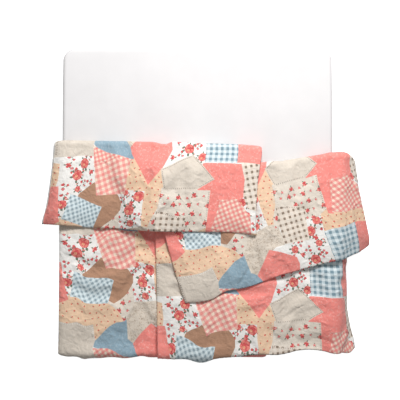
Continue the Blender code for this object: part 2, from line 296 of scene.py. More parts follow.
print("the left foot end waves by", round(float(np.ptp(hem_wave(True, LEFT, ACROSS)[1])) * 1000), "mm")

# %% [markdown]
# Next comes the thickness. Fibre filling is thin along a seam, swells up to its loft within a few centimetres, and is
# pressed out where the duvet is bent. One formula of the distance to the nearest edge gives that soft crown. A fold or
# a crease is a ridge with a bell-shaped section that fades out at both ends.

# %% Thickness and ridges
SEWN_SEAM = 0.999 * SEAM       # thickness that a sewn edge swells to, and how soon
SEWN_RUN = 0.004


def layer_loft(layer, xy, across, along, sewn=False):
    """Thickness of the filling. The two sheets of a sewn one meet at the edge."""
    body = layer.endswith("body")
    length = BODY_LENGTH if body else DUVET_LENGTH - BODY_LENGTH
    side = np.minimum(across, 1 - across)[None, :] * DUVET_WIDTH
    end, fold = (along * length)[:, None], ((1 - along) * length)[:, None]
    if not body:
        end, fold = fold, end
    edge = 1 / (1 / (side + 1e-4) ** 3 + 1 / (end + 1e-4) ** 3) ** (1 / 3)
    full = SEWN_SEAM * (1 - np.exp(-edge / SEWN_RUN)) if sewn else SEAM
    full = full + (LOFT - SEAM) * (1 - np.exp(-edge / TAPER))
    past = -xy[..., 1] - ROLL_Y
    pressed = smooth((past + 0.19) / 0.17) * (1 - smooth((past - 0.01) / 0.04))
    return full * (FOLD_LOFT + (1 - FOLD_LOFT) * smooth(fold / 0.14)) * (1 - BEND_PRESS * pressed)


def ridges(layer, xy, lines):
    """Height that named folds or creases add to a layer."""
    add = np.zeros(xy.shape[:2])
    for name, start, end, height, half in lines:
        if name != layer:
            continue
        start, axis = np.array(start), np.array(end) - np.array(start)
        length = np.linalg.norm(axis)
        rel = (xy - start) @ axis / length
        off = np.abs((xy - start) @ np.array([-axis[1], axis[0]])) / length
        ends = smooth((rel + 0.05) / 0.10) * smooth((length + 0.05 - rel) / 0.10)
        add += height * ends * np.exp(-(off / half) ** 2)
    return add


print("the loft is", LOFT * 1000, "mm, and", round(LOFT * FOLD_LOFT * 1000), "mm beside the fold")

# %% [markdown]
# The four layers are laid in the order in which they were put down. Each one rests on the raster of all the heights
# below it, bridged a little sideways, because a filled duvet doesn't drop off a step like thin cloth.

# %% Lay the layers
def bridged(field, cells):
    """The raster of heights as a stiff layer feels it: the highest places spread, then softened."""
    for axis in (0, 1):
        field = np.max([np.roll(field, k, axis) for k in range(-2 * cells, 2 * cells + 1)], axis=0)
    for axis in (0, 1) * 2:
        field = np.mean([np.roll(field, k, axis) for k in range(-cells, cells + 1)], axis=0)
    return field


def read(field, xy):
    """Height of the raster at any place, between its cells too."""
    x, y = (xy[..., 0] - RASTER_X[0]) / CELL, (xy[..., 1] - RASTER_Y[0]) / CELL
    i, j = np.floor(x).astype(int), np.floor(y).astype(int)
    fx, fy = x - i, y - j
    return ((field[i, j] * (1 - fx) + field[i + 1, j] * fx) * (1 - fy)
            + (field[i, j + 1] * (1 - fx) + field[i + 1, j + 1] * fx) * fy)


def clearance(support, xy):
    """Height of a layer's underside over what supports it."""
    past_side = smooth((np.abs(xy[..., 0]) - ROLL_X + 0.12) / 0.14)
    past_foot = smooth((-xy[..., 1] - ROLL_Y + 0.02) / 0.07)
    return support + SEAT + (GAP - SEAT) * smooth(support / GAP) + EDGE_LIFT * np.maximum(past_side, past_foot)


def lay_duvets():
    """Middle surface (x, y, w) and loft of the four layers."""
    top = np.zeros([round((hi - lo) / CELL) for lo, hi in (RASTER_X, RASTER_Y)])
    laid = {}
    for layer in ("left_body", "right_body", "right_flap", "left_flap"):
        shape = LEFT if layer.startswith("left") else RIGHT
        field = bridged(top, BRIDGE[layer])
        xy = layer_plan(layer, shape, ACROSS, RASTER_ROWS)
        loft = layer_loft(layer, xy, ACROSS, RASTER_ROWS)
        upper = clearance(read(field, xy), xy) + ridges(layer, xy, FOLDS) + loft
        i = np.round((xy[..., 0] - RASTER_X[0]) / CELL).astype(int)
        j = np.round((xy[..., 1] - RASTER_Y[0]) / CELL).astype(int)
        np.maximum.at(top, (i, j), upper)
        along = BODY_ROWS if layer.endswith("body") else FLAP_ROWS
        xy = layer_plan(layer, shape, ACROSS, along)
        loft = layer_loft(layer, xy, ACROSS, along)
        middle = clearance(read(field, xy), xy) + ridges(layer, xy, FOLDS) + loft / 2
        laid[layer] = (xy, middle, layer_loft(layer, xy, ACROSS, along, sewn=True))
    return laid


layers = lay_duvets()
for name, (xy, w, loft) in layers.items():
    print(name, "rises to", round(float((w + loft / 2).max()) * 1000), "mm above the mattress")

# %% [markdown]
# A body and its flap are joined round the fold by a half-round nose. Then each duvet is measured along its length, so
# that a point of the flat cloth, so many metres from the left side and from the foot, can be found again on the laid
# duvet. That is what lets us print first and fold later.

# %% Join and measure
GRID_STEP_U, GRID_STEP_V = 0.005, 0.004
GRID_V = int(round(DUVET_LENGTH / GRID_STEP_V)) + 1
NOSE_ROWS = 16
TWIST, TWIST_END = 2 / 3, 0.21     # share of a flap's turn to its own slope that the fold takes, and where it ends


def join(body, flap):
    """Rows of (x, y, w, loft, share on the flap) from the foot to the flap's hem."""
    (xy_b, w_b, loft_b), (xy_f, w_f, loft_f) = body, flap
    half = (w_f[0] - w_b[-1]) / 2
    out = xy_b[-1] - xy_b[-2]
    out /= np.linalg.norm(out, axis=1)[:, None]
    shrink_b = smooth((np.linspace(0, 1, len(xy_b)) - 0.6) / 0.4)[:, None]
    shrink_f = smooth(1 - np.linspace(0, 1, len(xy_f)) / 0.5)[:, None]
    xy_b = xy_b - (half[None, :] * shrink_b)[..., None] * out[None]
    xy_f = xy_f - (half[None, :] * shrink_f)[..., None] * out[None]
    rows = [np.dstack([xy_b, w_b, loft_b, np.zeros_like(w_b)])]
    for k in range(1, NOSE_ROWS):
        turn = math.pi * k / NOSE_ROWS
        xy = xy_b[-1] + (half * math.sin(turn))[:, None] * out
        w = w_b[-1] + half * (1 - math.cos(turn))
        rows.append(np.dstack([xy[None], w[None], loft_b[-1:], np.full((1, len(w)), TWIST * k / NOSE_ROWS)]))
    on_flap = np.minimum(TWIST + (1 - TWIST) * FLAP_ROWS / TWIST_END, 1)[:, None] * np.ones_like(w_f)
    rows.append(np.dstack([xy_f, w_f, loft_f, on_flap]))
    return np.vstack(rows)


def measured(rows):
    """The same duvet on an even grid of the flat cloth."""
    step = np.linalg.norm(np.diff(rows[..., :3], axis=0), axis=2)
    run = np.vstack([np.zeros(rows.shape[1]), np.cumsum(step, axis=0)])
    run *= DUVET_LENGTH / run[-1]
    v = np.linspace(0, DUVET_LENGTH, GRID_V)
    grid = np.empty((GRID_V, *rows.shape[1:]))
    for i in range(rows.shape[1]):
        for k in range(rows.shape[2]):
            grid[:, i, k] = np.interp(v, run[:, i], rows[:, i, k])
    return grid


grids = {side: measured(join(layers[side + "_body"], layers[side + "_flap"])) for side in ("left", "right")}
print("each duvet is a grid of", " by ".join(str(n) for n in grids["left"].shape[:2]), "points")

# %% [markdown]
# Now the bed is rolled back. What lies past an edge of the mattress bends over a round of 6 cm and then hangs at a
# steady slope, as a stiff filled duvet does; bare cloth would drop straight down. At a corner the cloth is bent both
# ways at once and spreads, so its points are evened out along their real length.

# %% Roll the bed back
CORNER_POWER = 2.2             # how softly the drops at the side and at the foot add up
EVENED = 0.09                  # how far inside the bend the spreading starts


def roll(points, side_limit, foot_limit):
    """Rolls the unrolled bed back: bends what lies past its left, right and foot edges down the sides."""
    x, y, w = points[..., 0], points[..., 1], points[..., 2]
    past_x, past_y = np.maximum(np.abs(x) - ROLL_X, 0), np.maximum(-y - ROLL_Y, 0)
    turn_x = np.minimum(past_x / ROLL, side_limit)
    turn_y = np.minimum(past_y / ROLL, foot_limit)
    out_x = ROLL * np.sin(turn_x) + (past_x - ROLL * turn_x) * np.cos(turn_x) + w * np.sin(turn_x)
    out_y = ROLL * np.sin(turn_y) + (past_y - ROLL * turn_y) * np.cos(turn_y) + w * np.sin(turn_y)
    drop_x = ROLL * (1 - np.cos(turn_x)) + (past_x - ROLL * turn_x) * np.sin(turn_x)
    drop_y = ROLL * (1 - np.cos(turn_y)) + (past_y - ROLL * turn_y) * np.sin(turn_y)
    drop = (drop_x ** CORNER_POWER + drop_y ** CORNER_POWER) ** (1 / CORNER_POWER)
    new_x = np.where(past_x > 0, np.sign(x) * (ROLL_X + out_x), x)
    new_y = np.where(past_y > 0, -(ROLL_Y + out_y), y)
    return np.dstack([new_x, new_y, BED_TOP + w * np.cos(turn_x) * np.cos(turn_y) - drop])


def limits(grid):
    """Steepest slope at each point past the sides, and past the foot. It is less near a corner and on a flap."""
    x, y, on_flap = grid[..., 0], grid[..., 1], smooth(grid[..., 4])
    at_foot, at_corner = smooth((-0.72 - y) / 0.35), smooth((0.12 - y) / 0.42)
    right = HANG_RIGHT - 18 * at_foot - on_flap * (22 + 4 * at_corner)
    side = np.where(x < 0, HANG_LEFT, right)
    return np.radians(side), np.radians(HANG_FOOT + 6 * smooth((x + 0.2) / 0.6))


def evened(grid):
    """Spreads the cloth evenly by its real length where it bends over the sides and the foot of the bed."""
    for axis, sign, edge in ((0, -1, ROLL_X), (0, 1, ROLL_X), (1, -1, ROLL_Y)):
        lines = grid if axis == 0 else grid.transpose(1, 0, 2)
        lines = lines[:, ::-1] if sign > 0 else lines
        real = roll(lines[..., :3], *limits(lines))
        run = np.pad(np.cumsum(np.linalg.norm(np.diff(real, axis=1), axis=2), axis=1), ((0, 0), (1, 0)))
        past = sign * lines[..., axis] - edge + EVENED
        count, out = np.arange(lines.shape[1]), lines.copy()
        for n in np.nonzero(past[:, 0] > 0)[0]:
            k = int(np.argmax(past[n] <= 0))
            start = k - 1 + past[n, k - 1] / (past[n, k - 1] - past[n, k])
            target = np.interp(start, count, run[n]) * count[:k] / start
            place = np.interp(target, run[n], count)
            for item in range(lines.shape[2]):
                out[n, :k, item] = np.interp(place, count, lines[n, :, item])
        out = out[:, ::-1] if sign > 0 else out
        grid = out if axis == 0 else out.transpose(1, 0, 2)
    return grid


grids = {side: evened(grid) for side, grid in grids.items()}
for side, grid in grids.items():
    print(side, "hangs down to", round(float(roll(grid[..., :3], *limits(grid))[..., 2].min()) * 1000), "mm")

# %% [markdown]
# A duvet's two sheets are the middle surface moved out by half the filling on each side. The sewing thread draws
# small puckers along all the seams, so a soft ripple is added there first.

# %% Shells
RIPPLE, PUCKER = 0.0018, 0.034     # height and length of the puckers that the thread draws


def outward(grid):
    """Unit normals of a grid of points, upwards where the grid lies face up."""
    normal = np.cross(np.gradient(grid, axis=1), np.gradient(grid, axis=0))
    return normal / np.linalg.norm(normal, axis=2)[..., None]


def fold_of(grid):
    """Where the fold lies along each column, in metres from the foot of the cloth."""
    v = np.linspace(0, DUVET_LENGTH, len(grid))
    return np.array([np.interp(TWIST / 2, grid[:, k, 4], v) for k in range(grid.shape[1])])


def blurred(grid, passes):
    """Softens a grid a little along both axes and leaves its border where it is."""
    for _ in range(passes):
        inner = grid.copy()
        inner[1:-1] = (grid[:-2] + 2 * grid[1:-1] + grid[2:]) / 4
        soft = inner.copy()
        soft[:, 1:-1] = (inner[:, :-2] + 2 * inner[:, 1:-1] + inner[:, 2:]) / 4
        grid = soft
    return grid


def seam_ripple(shape):
    """Small puckers along all four seams."""
    v, a = np.linspace(0, DUVET_LENGTH, shape[0])[:, None], np.linspace(0, DUVET_WIDTH, shape[1])[None, :]
    lift = 0
    for along, off in ((v, np.minimum(a, DUVET_WIDTH - a)), (a, np.minimum(v, DUVET_LENGTH - v))):
        wave = np.sin(2 * math.pi * along / PUCKER + 2.2 * np.sin(2 * math.pi * along / 0.23))
        swell = 0.6 + 0.4 * np.sin(2 * math.pi * along / 0.41 + 1)
        lift = lift + RIPPLE * swell * (0.5 + 0.5 * wave) * np.exp(-off / 0.016)
    return lift


def shell(grid):
    """Face and back of a duvet as grids of points on the real bed."""
    middle = blurred(grid[..., :3], 3)
    middle[..., 2] += seam_ripple(middle.shape)
    move = (grid[..., 3] / 2)[..., None] * outward(middle)
    return {name: roll(middle + sign * move, *limits(grid)) for name, sign in (("face", 1), ("back", -1))}


duvets = {}
for side, grid in grids.items():
    duvets[side] = {"grid": grid, "fold": fold_of(grid), "shell": shell(grid)}
    left_end, right_end = (round(float(duvets[side]["fold"][k]), 2) for k in (0, -1))
    print(side, "folds", left_end, "m up its left side and", right_end, "m up its right")

# %% [markdown]
# ## Letting the filling push
#
# The shells are still as smooth as a drawing. A coarse closed copy of each is blown up a little with Blender's Cloth
# simulation: fibre filling pushes from inside, and the cotton is a few percent too wide for it, so it buckles into the
# soft crumples that a made bed has. Noise could make bumps too, but it doesn't know where cloth is slack. The copy is
# made from the grid, and not by a voxel remesh, so that each of its points still belongs to a place of the print. Soft
# pins keep every point near where it was laid, and gravity is off, because the laying has already dealt with it.

# %% Push with Cloth
COARSE_V, COARSE_U = 4, 4                # every fourth row and column, which is 16 by 20 mm
PRESSURE, EXTRA_CLOTH, PIN_WEIGHT, FRAMES = 4.0, 0.04, 0.3, 20


def cloth_copy(shell):
    """Closed coarse mesh of a shell, with the numbers of the points of its face and back."""
    face, back = (shell[name][::COARSE_V, ::COARSE_U] for name in ("face", "back"))
    rows, cols = face.shape[:2]
    upper = np.arange(rows * cols).reshape(rows, cols)
    lower = upper.copy()
    lower[1:-1, 1:-1] = rows * cols + np.arange((rows - 2) * (cols - 2)).reshape(rows - 2, cols - 2)
    points = np.vstack([face.reshape(-1, 3), back[1:-1, 1:-1].reshape(-1, 3)])
    loops = [np.stack([n[:-1, :-1], n[:-1, 1:], n[1:, 1:], n[1:, :-1]], -1).reshape(-1, 4) for n in (upper, lower)]
    mesh = bpy.data.meshes.new("cloth_copy")
    mesh.from_pydata(points.tolist(), [], loops[0].tolist() + loops[1][:, ::-1].tolist())
    obj = bpy.data.objects.new("cloth_copy", mesh)
    bpy.context.collection.objects.link(obj)
    return obj, upper, lower, points


def pushed(obj, count):
    """Runs the simulation on a copy and returns where its points end up."""
    pins = obj.vertex_groups.new(name="pins")
    pins.add(list(range(count)), PIN_WEIGHT, "REPLACE")
    cloth = obj.modifiers.new("Cloth", "CLOTH").settings
    cloth.quality, cloth.mass = 5, 0.3
    cloth.tension_stiffness = cloth.compression_stiffness = 30
    cloth.shear_stiffness, cloth.bending_stiffness = 5, 20
    cloth.vertex_group_mass, cloth.pin_stiffness = "pins", 0.5
    cloth.use_pressure, cloth.uniform_pressure_force = True, PRESSURE
    cloth.shrink_min = -EXTRA_CLOTH
    cloth.effector_weights.gravity = 0
    obj.modifiers["Cloth"].collision_settings.use_collision = False
    for frame_number in range(1, FRAMES + 1):
        bpy.context.scene.frame_set(frame_number)
    result = obj.evaluated_get(bpy.context.evaluated_depsgraph_get()).data
    places = np.empty(count * 3)
    result.vertices.foreach_get("co", places)
    bpy.context.scene.frame_set(1)
    bpy.data.meshes.remove(obj.data)
    return places.reshape(-1, 3)


print("a coarse point stands for", COARSE_U * GRID_STEP_U * 1000, "by", COARSE_V * GRID_STEP_V * 1000, "mm of cloth")

# %% [markdown]
# The simulation's swelling is read off along the normal. Its even part is taken out, because the laid loft already has
# it, and the rest is scaled down and capped, so no sheet meets another one. Only the sheets that can be seen take it:
# the face of the body, and the back of the flap, which the fold turns upwards. The listed creases are added too.

# %% Keep the crumples
CRUMPLE_SHARE, CRUMPLE_RISE, CRUMPLE_SINK = 0.85, 0.0048, 0.0090
EVEN_PASSES = 80               # passes of blurring that leave only the even part of the swelling


def cubic_weights(t):
    """Weights of the four points round a place that lies a share t between the inner two."""
    return np.stack([-0.5 * t + t * t - 0.5 * t ** 3, 1 - 2.5 * t * t + 1.5 * t ** 3,
                     0.5 * t + 2 * t * t - 1.5 * t ** 3, -0.5 * t * t + 0.5 * t ** 3], axis=-1)


def cubic_read(grid, row, column):
    """Reads an even grid at fractions of rows and columns, with a cubic curve each way."""
    rows, cols = grid.shape[:2]
    i, j = np.clip(np.floor(column).astype(int), 0, cols - 2), np.clip(np.floor(row).astype(int), 0, rows - 2)
    wx, wy = cubic_weights(column - i), cubic_weights(row - j)
    out = np.zeros((*row.shape, grid.shape[2]))
    for m in range(4):
        for n in range(4):
            part = grid[np.clip(j + m - 1, 0, rows - 1), np.clip(i + n - 1, 0, cols - 1)]
            out += part * (wy[..., m] * wx[..., n])[..., None]
    return out


def seen_share(name, shape, fold):
    """How far each point of a sheet is in sight, from 0 to 1, and 0 along the seams."""
    v, a = np.linspace(0, DUVET_LENGTH, shape[0])[:, None], np.linspace(0, DUVET_WIDTH, shape[1])[None, :]
    edge = np.minimum(np.minimum(a, DUVET_WIDTH - a), np.minimum(v, DUVET_LENGTH - v))
    past = v - np.interp(np.arange(shape[1]), np.arange(len(fold)), fold)[None, :]
    seen = smooth((past + 0.10) / 0.08) if name == "back" else 1 - smooth((past + 0.22) / 0.12)
    return seen * (1 - np.exp(-edge / 0.018))


def add_crumples(side):
    """Adds the simulated crumples and the listed creases to a duvet's shell."""
    shell, grid, fold = (duvets[side][key] for key in ("shell", "grid", "fold"))
    obj, upper, lower, before = cloth_copy(shell)
    move = pushed(obj, len(before)) - before
    row, column = np.mgrid[0:grid.shape[0], 0:grid.shape[1]]
    for name, numbers, up, layer in (("face", upper, 1, "_body"), ("back", lower, -1, "_flap")):
        swell = (move[numbers] * outward(shell[name][::COARSE_V, ::COARSE_U])).sum(axis=2) * up
        swell = (swell - blurred(swell, EVEN_PASSES)) * CRUMPLE_SHARE
        fine = cubic_read(swell[..., None], row / COARSE_V, column / COARSE_U)[..., 0]
        fine += ridges(side + layer, grid[..., :2], CREASES)
        fine = np.clip(fine, -CRUMPLE_SINK, CRUMPLE_RISE) * seen_share(name, fine.shape, fold)
        shell[name] += outward(shell[name]) * (up * fine)[..., None]
        print(side, name, "crumples from", round(fine.min() * 1000, 1), "to", round(fine.max() * 1000, 1), "mm")


for side in ("left", "right"):
    add_crumples(side)

# %% [markdown]
# ## The patchwork print
#
# The cover isn't real patchwork: it is one printed cotton, and its patches repeat down the cloth. We set them out in
# centimetres, a from the left side and b down the print, with the turn of each patch's threads in degrees. A later
# patch is printed over an earlier one, and whatever no patch covers keeps the white ground with its roses.
#
# Careful: the outlines of the patches and the places of the roses were picked on the photograph point by point, so
# this layout is traced and isn't a design of our own. It has to be replaced by another one before the part is used.

# %% Patches
REPEAT = 80.0                  # centimetres of print before it starts again

# (fabric, turn of its threads, outline)
PATCHES = [
    ("peach", 0, [(0, 60), (3.5, 59), (11, 51), (34, 57), (41, 62), (46, 67), (43, 74), (28, 83), (24, 83), (24, 71.5),
                  (0, 71.5)]),
    ("rosebud", 0, [(38, 51), (50, 45), (52, 56), (52, 64), (46, 70), (41, 62), (34, 58.4), (37, 55)]),
    ("twig", 0, [(52, 57), (58, 56.5), (66, 54), (73, 53.5), (74, 60), (74, 69), (68, 69), (64, 71), (58, 78), (51, 85),
                 (46, 83), (45, 69), (50, 62)]),
    ("peach", 0, [(50, 90), (56, 90), (67, 107.5), (75, 97), (80, 107), (79, 110), (76.5, 121), (73.5, 129),
                  (71.5, 134.5), (67, 134), (65.5, 121), (65.5, 111.5), (51, 111), (50, 105)]),
    ("rosebud", 0, [(76.5, 29), (110, 29), (111, 57), (70.5, 57), (72, 50), (75.5, 42)]),
    ("peach", 0, [(104, 56), (110, 53), (124, 53), (140, 57), (140, 70), (102.5, 70)]),
    ("coral", 0, [(122, 67), (124, 66.7), (140, 69), (140, 92), (122, 93)]),
    ("blue", 0, [(25, 80.5), (40, 69.5), (46.5, 67.5), (47, 80), (51.5, 84), (55, 87.5), (54.5, 91.5), (42, 89.3),
                 (27, 85.5), (24.5, 84)]),
    ("beige", 0, [(0, 70), (24.5, 69.5), (25.5, 80), (24, 84.5), (28, 91.5), (0, 91.5)]),
    ("fine_gingham", -24, [(24, 84.5), (27, 85.5), (42, 89.3), (54.5, 91.5), (50, 94), (39, 94), (30, 98),
                           (27, 98)]),
    ("coral", 0, [(63, 69.5), (70, 73), (79, 79), (79.5, 84), (75, 97), (67, 107.5), (60, 97), (52.5, 88),
                  (50.5, 83.5), (57, 76)]),
    ("peach", 0, [(0, 15), (3.8, 16), (4.6, 27), (4.0, 31), (0, 31)]),
    ("coral", 0, [(0, 31), (5.5, 31), (7, 40), (9, 50), (10.5, 54), (3.5, 59), (0, 60)]),
    ("brown", 0, [(29.5, 27.5), (34, 31), (44.5, 31.5), (48.5, 36), (51, 40), (51, 44.5), (47, 50.5), (41, 55.5),
                  (38, 58), (32, 56), (34, 46), (17.5, 39.5), (18.5, 36.3)]),
    ("pink_gingham", -24, [(27, 16.3), (39.5, 11.7), (52.5, 12.8), (53, 34), (32.5, 35.8), (30, 27)]),
    ("blue_gingham", -23, [(13, 36.3), (38, 43), (34, 58.4), (11, 52.5), (12.3, 46)]),
    ("brown_check", 0, [(75.3, 43.7), (94.5, 48), (91.5, 70.5), (73.8, 68.5)]),
    ("blue_check", 0, [(102.5, 67.5), (124, 66.3), (124, 93), (102.5, 93)]),
    ("coral", 0, [(102.5, 13.5), (129, 13.5), (133, 23), (133, 32), (127, 37.5), (118, 38), (116, 45),
                  (111.5, 58), (108.5, 57), (108.5, 30.5), (100, 30.5), (103, 22), (101, 14)]),
    ("brown_check", -17, [(126.5, 12.5), (140, 12), (140, 42), (134, 41), (130.5, 33), (130.5, 23)]),
    ("fine_gingham", -24, [(115.5, 36.5), (127, 35.5), (136, 46), (137, 59.5), (111, 57), (114, 45)]),
    ("beige", 0, [(74, 17.5), (94, 8), (110.5, 23.5), (100, 30), (78, 30.5)]),
]
# Roses as (a, b, radius), and sprigs as (a, b).
ROSES = [(19, 16.5, 2.9), (15, 24, 3.0), (9.5, 43, 2.5), (17, 33, 1.8), (62.5, 35, 3.0), (57.5, 44, 3.0),
         (59.5, 52.5, 2.1), (53.5, 33, 1.7), (91, 4, 2.9), (100.5, 9.5, 2.5), (94, 65, 3.0), (100, 59, 2.5),
         (79.5, 74, 2.3), (97, 74, 2.0), (130, 37.5, 2.4)]
SPRIGS = [(8, 17), (9.5, 12), (8.5, 31), (25.5, 21.5), (25.5, 27.5), (9.5, 37), (8.5, 50), (51.5, 38), (51.5, 50.5),
          (67.5, 48), (55, 57), (86, 8), (80.5, 9.5), (85, 71), (103, 65), (84, 79), (96, 80), (22, 10.5), (134.5, 45),
          (138.5, 52), (64.5, 58), (70, 34), (11.5, 20.5), (21, 28.5), (68, 41), (63, 47.5), (97, 2), (96, 70),
          (88.5, 76), (75.5, 78), (58.5, 39.5), (104.5, 60.5)]
print(len(PATCHES), "patches,", len(ROSES), "roses and", len(SPRIGS), "sprigs in each", REPEAT, "cm")

# %% [markdown]
# The motifs are drawn with formulas. A rose is built the way that a print designer brushes one in: loose petals in two
# reds that overlap, dark strokes between them, and a warm heart a little off the middle. A noise texture could give
# red spots, but no petals. All motifs are set together from three strokes and a wavy ring, and each mark is a colour
# and an outline.

# %% Strokes and the rose
LEAF = [(0, 0), (0.25, 0.20), (0.6, 0.24), (1, 0), (0.65, -0.15), (0.3, -0.17)]
PETAL = [(0, 0.05), (0.25, 0.36), (0.62, 0.50), (0.92, 0.36), (0.96, 0.08), (1.02, -0.2), (0.76, -0.46),
         (0.42, -0.44), (0.15, -0.22)]
STROKE = [(0, 0), (0.3, 0.13), (0.7, 0.12), (1, 0), (0.7, 0.26), (0.3, 0.28)]


def placed(shape, x, y, length, turn, width=1.0):
    """A shape of unit length, turned and set down at x, y."""
    c, s = math.cos(turn) * length, math.sin(turn) * length
    return [(x + px * c - py * width * s, y + px * s + py * width * c) for px, py in shape]


def ring(x, y, radius, count, wave=0.0, lobes=5, turn=0.0):
    """Points of a wavy round."""
    rounds = [2 * math.pi * k / count for k in range(count)]
    radii = [radius * (1 + wave * math.cos(lobes * t + turn)) for t in rounds]
    return [(x + r * math.cos(t), y + r * math.sin(t)) for r, t in zip(radii, rounds)]


def rose(x, y, radius, rng):
    """Full bloom with its leaves."""
    turn, marks = rng.uniform(0, 2 * math.pi), []
    for k in range(6):
        t = turn + k * 1.047 + rng.uniform(-0.3, 0.3)
        start = (x + radius * 0.86 * math.cos(t), y + radius * 0.86 * math.sin(t))
        marks.append(("leaf", placed(LEAF, *start, radius * rng.uniform(0.5, 0.8), t + rng.uniform(-0.9, 0.9), 1.4)))
    marks.append(("rose_red", ring(x, y, radius * 0.94, 14, 0.06, 5, turn)))
    for k in range(5):
        t = turn + k * 1.257 + rng.uniform(-0.12, 0.12)
        start = (x + radius * 0.20 * math.cos(t), y + radius * 0.20 * math.sin(t))
        marks.append(("rose_light", placed(PETAL, *start, radius * rng.uniform(0.62, 0.78), t, 0.95)))
    for k in range(4):
        t = turn + 0.5 + k * 1.57
        start = (x + radius * 0.60 * math.cos(t), y + radius * 0.60 * math.sin(t))
        marks.append(("rose_dark" if k % 2 else "rose_red", placed(STROKE, *start, radius * 0.8, t + 1.9, 0.9)))
    off = (x + radius * 0.12 * math.cos(turn), y + radius * 0.12 * math.sin(turn))
    marks.append(("rose_red", ring(*off, radius * 0.46, 9, 0.12, 3, turn)))
    marks.append(("rose_heart", placed(PETAL, off[0] - radius * 0.28, off[1] - radius * 0.05, radius * 0.56,
                                       turn * 0.3, 0.9)))
    marks.append(("rose_dark", placed(STROKE, off[0] - radius * 0.2, off[1] - radius * 0.1, radius * 0.44,
                                      turn * 0.3)))
    return marks


print("a rose takes", len(rose(0, 0, 3, random.Random(1))), "shapes")

# %% [markdown]
# The small motifs fill the grounds between the roses: sprigs with three buds, open buds between their leaves, pale
# blossoms in outline on the coral cloth, and twigs on the unbleached one. Each is turned at random, so that a handful
# of shapes doesn't look stamped.

# %% Small motifs
BUD_STEM = [(0, 0.06), (1, 0.05), (1, -0.05), (0, -0.06)]
SPRIG = 1.5                    # length of a sprig's shortest stem, in centimetres


def sprig(x, y, rng):
    """Three stems with a leaf and a bud each."""
    turn, marks = rng.uniform(0, 2 * math.pi), []
    for k in range(3):
        t = turn + k * 2.094 + rng.uniform(-0.35, 0.35)
        reach = SPRIG * rng.uniform(1.0, 1.45)
        end = (x + reach * math.cos(t), y + reach * math.sin(t))
        marks.append(("leaf", placed(BUD_STEM, x, y, reach, t)))
        marks.append(("leaf", placed(LEAF, x + reach * 0.4 * math.cos(t), y + reach * 0.4 * math.sin(t),
                                     SPRIG * 0.95, t + 1.0)))
        marks.append(("rose_red" if k < 2 else "bud_pink", ring(*end, SPRIG * rng.uniform(0.48, 0.66), 8, 0.2, 3, t)))
        marks.append(("rose_light", placed(STROKE, end[0] - SPRIG * 0.2, end[1] - SPRIG * 0.15, SPRIG * 0.5, t)))
    return marks


def small_rose(x, y, radius, rng, red="rose_red"):
    """Open bud of four petals between its leaves."""
    turn = rng.uniform(0, 2 * math.pi)
    marks = [("leaf", placed(LEAF, x + radius * 0.4 * math.cos(turn + k), y + radius * 0.4 * math.sin(turn + k),
                             radius * 1.25, turn + k)) for k in (0, 2.2, 4.0)[:2 if radius < 1 else 3]]
    for k in range(4):
        colour = "rose_light" if k == 1 else red
        marks.append((colour, placed(PETAL, x, y, radius * rng.uniform(0.85, 1.1), turn + 0.6 + k * 1.45, 0.95)))
    marks.append(("rose_dark" if red == "rose_red" else "rose_light", ring(x, y, radius * 0.25, 6)))
    return marks


def blossom(x, y, radius, rng):
    """Pale blossom drawn in outline, with a stem and a leaf."""
    turn, marks = rng.uniform(0, 2 * math.pi), []
    for k in range(5):
        t = turn + k * 1.257
        start = (x + radius * 0.95 * math.cos(t + 0.5), y + radius * 0.95 * math.sin(t + 0.5))
        marks.append(("blossom", placed(STROKE, *start, radius, t + 4.72, 1.5)))
    stem = (x + radius * 1.1 * math.cos(turn), y + radius * 1.1 * math.sin(turn))
    marks.append(("blossom", placed(STROKE, *stem, radius * 1.6, turn + 0.3, 0.6)))
    marks.append(("blossom", placed(LEAF, stem[0] + radius * 0.5 * math.cos(turn),
                                    stem[1] + radius * 0.5 * math.sin(turn), radius * 0.9, turn + 1.2)))
    return marks


def twig(x, y, length, rng):
    """Twig in two bows, with one leaf."""
    turn, bend = rng.uniform(0, 2 * math.pi), rng.choice((-1, 1))
    tip = (x + length * math.cos(turn), y + length * math.sin(turn))
    return [("twig_line", placed(STROKE, x, y, length, turn, 0.8 * bend)),
            ("twig_line", placed(STROKE, *tip, length * 0.8, turn + 0.9 * bend, -0.8 * bend)),
            ("twig_line", placed(LEAF, (x + tip[0]) / 2, (y + tip[1]) / 2, length * 0.4, turn - 0.9 * bend))]


print("a sprig takes", len(sprig(0, 0, random.Random(1))), "shapes")

# %% [markdown]
# Some patches look hand-sewn, because the print has stitches along their edges: bars across the edge, or dashes along
# it. Real thread would stand up from the cloth, and these lie flat in it, so they are printed shapes like the rest.

# %% Printed stitches
STITCH_STEP, STITCH_HALF, THREAD_HALF = 1.25, 0.42, 0.15       # all in centimetres

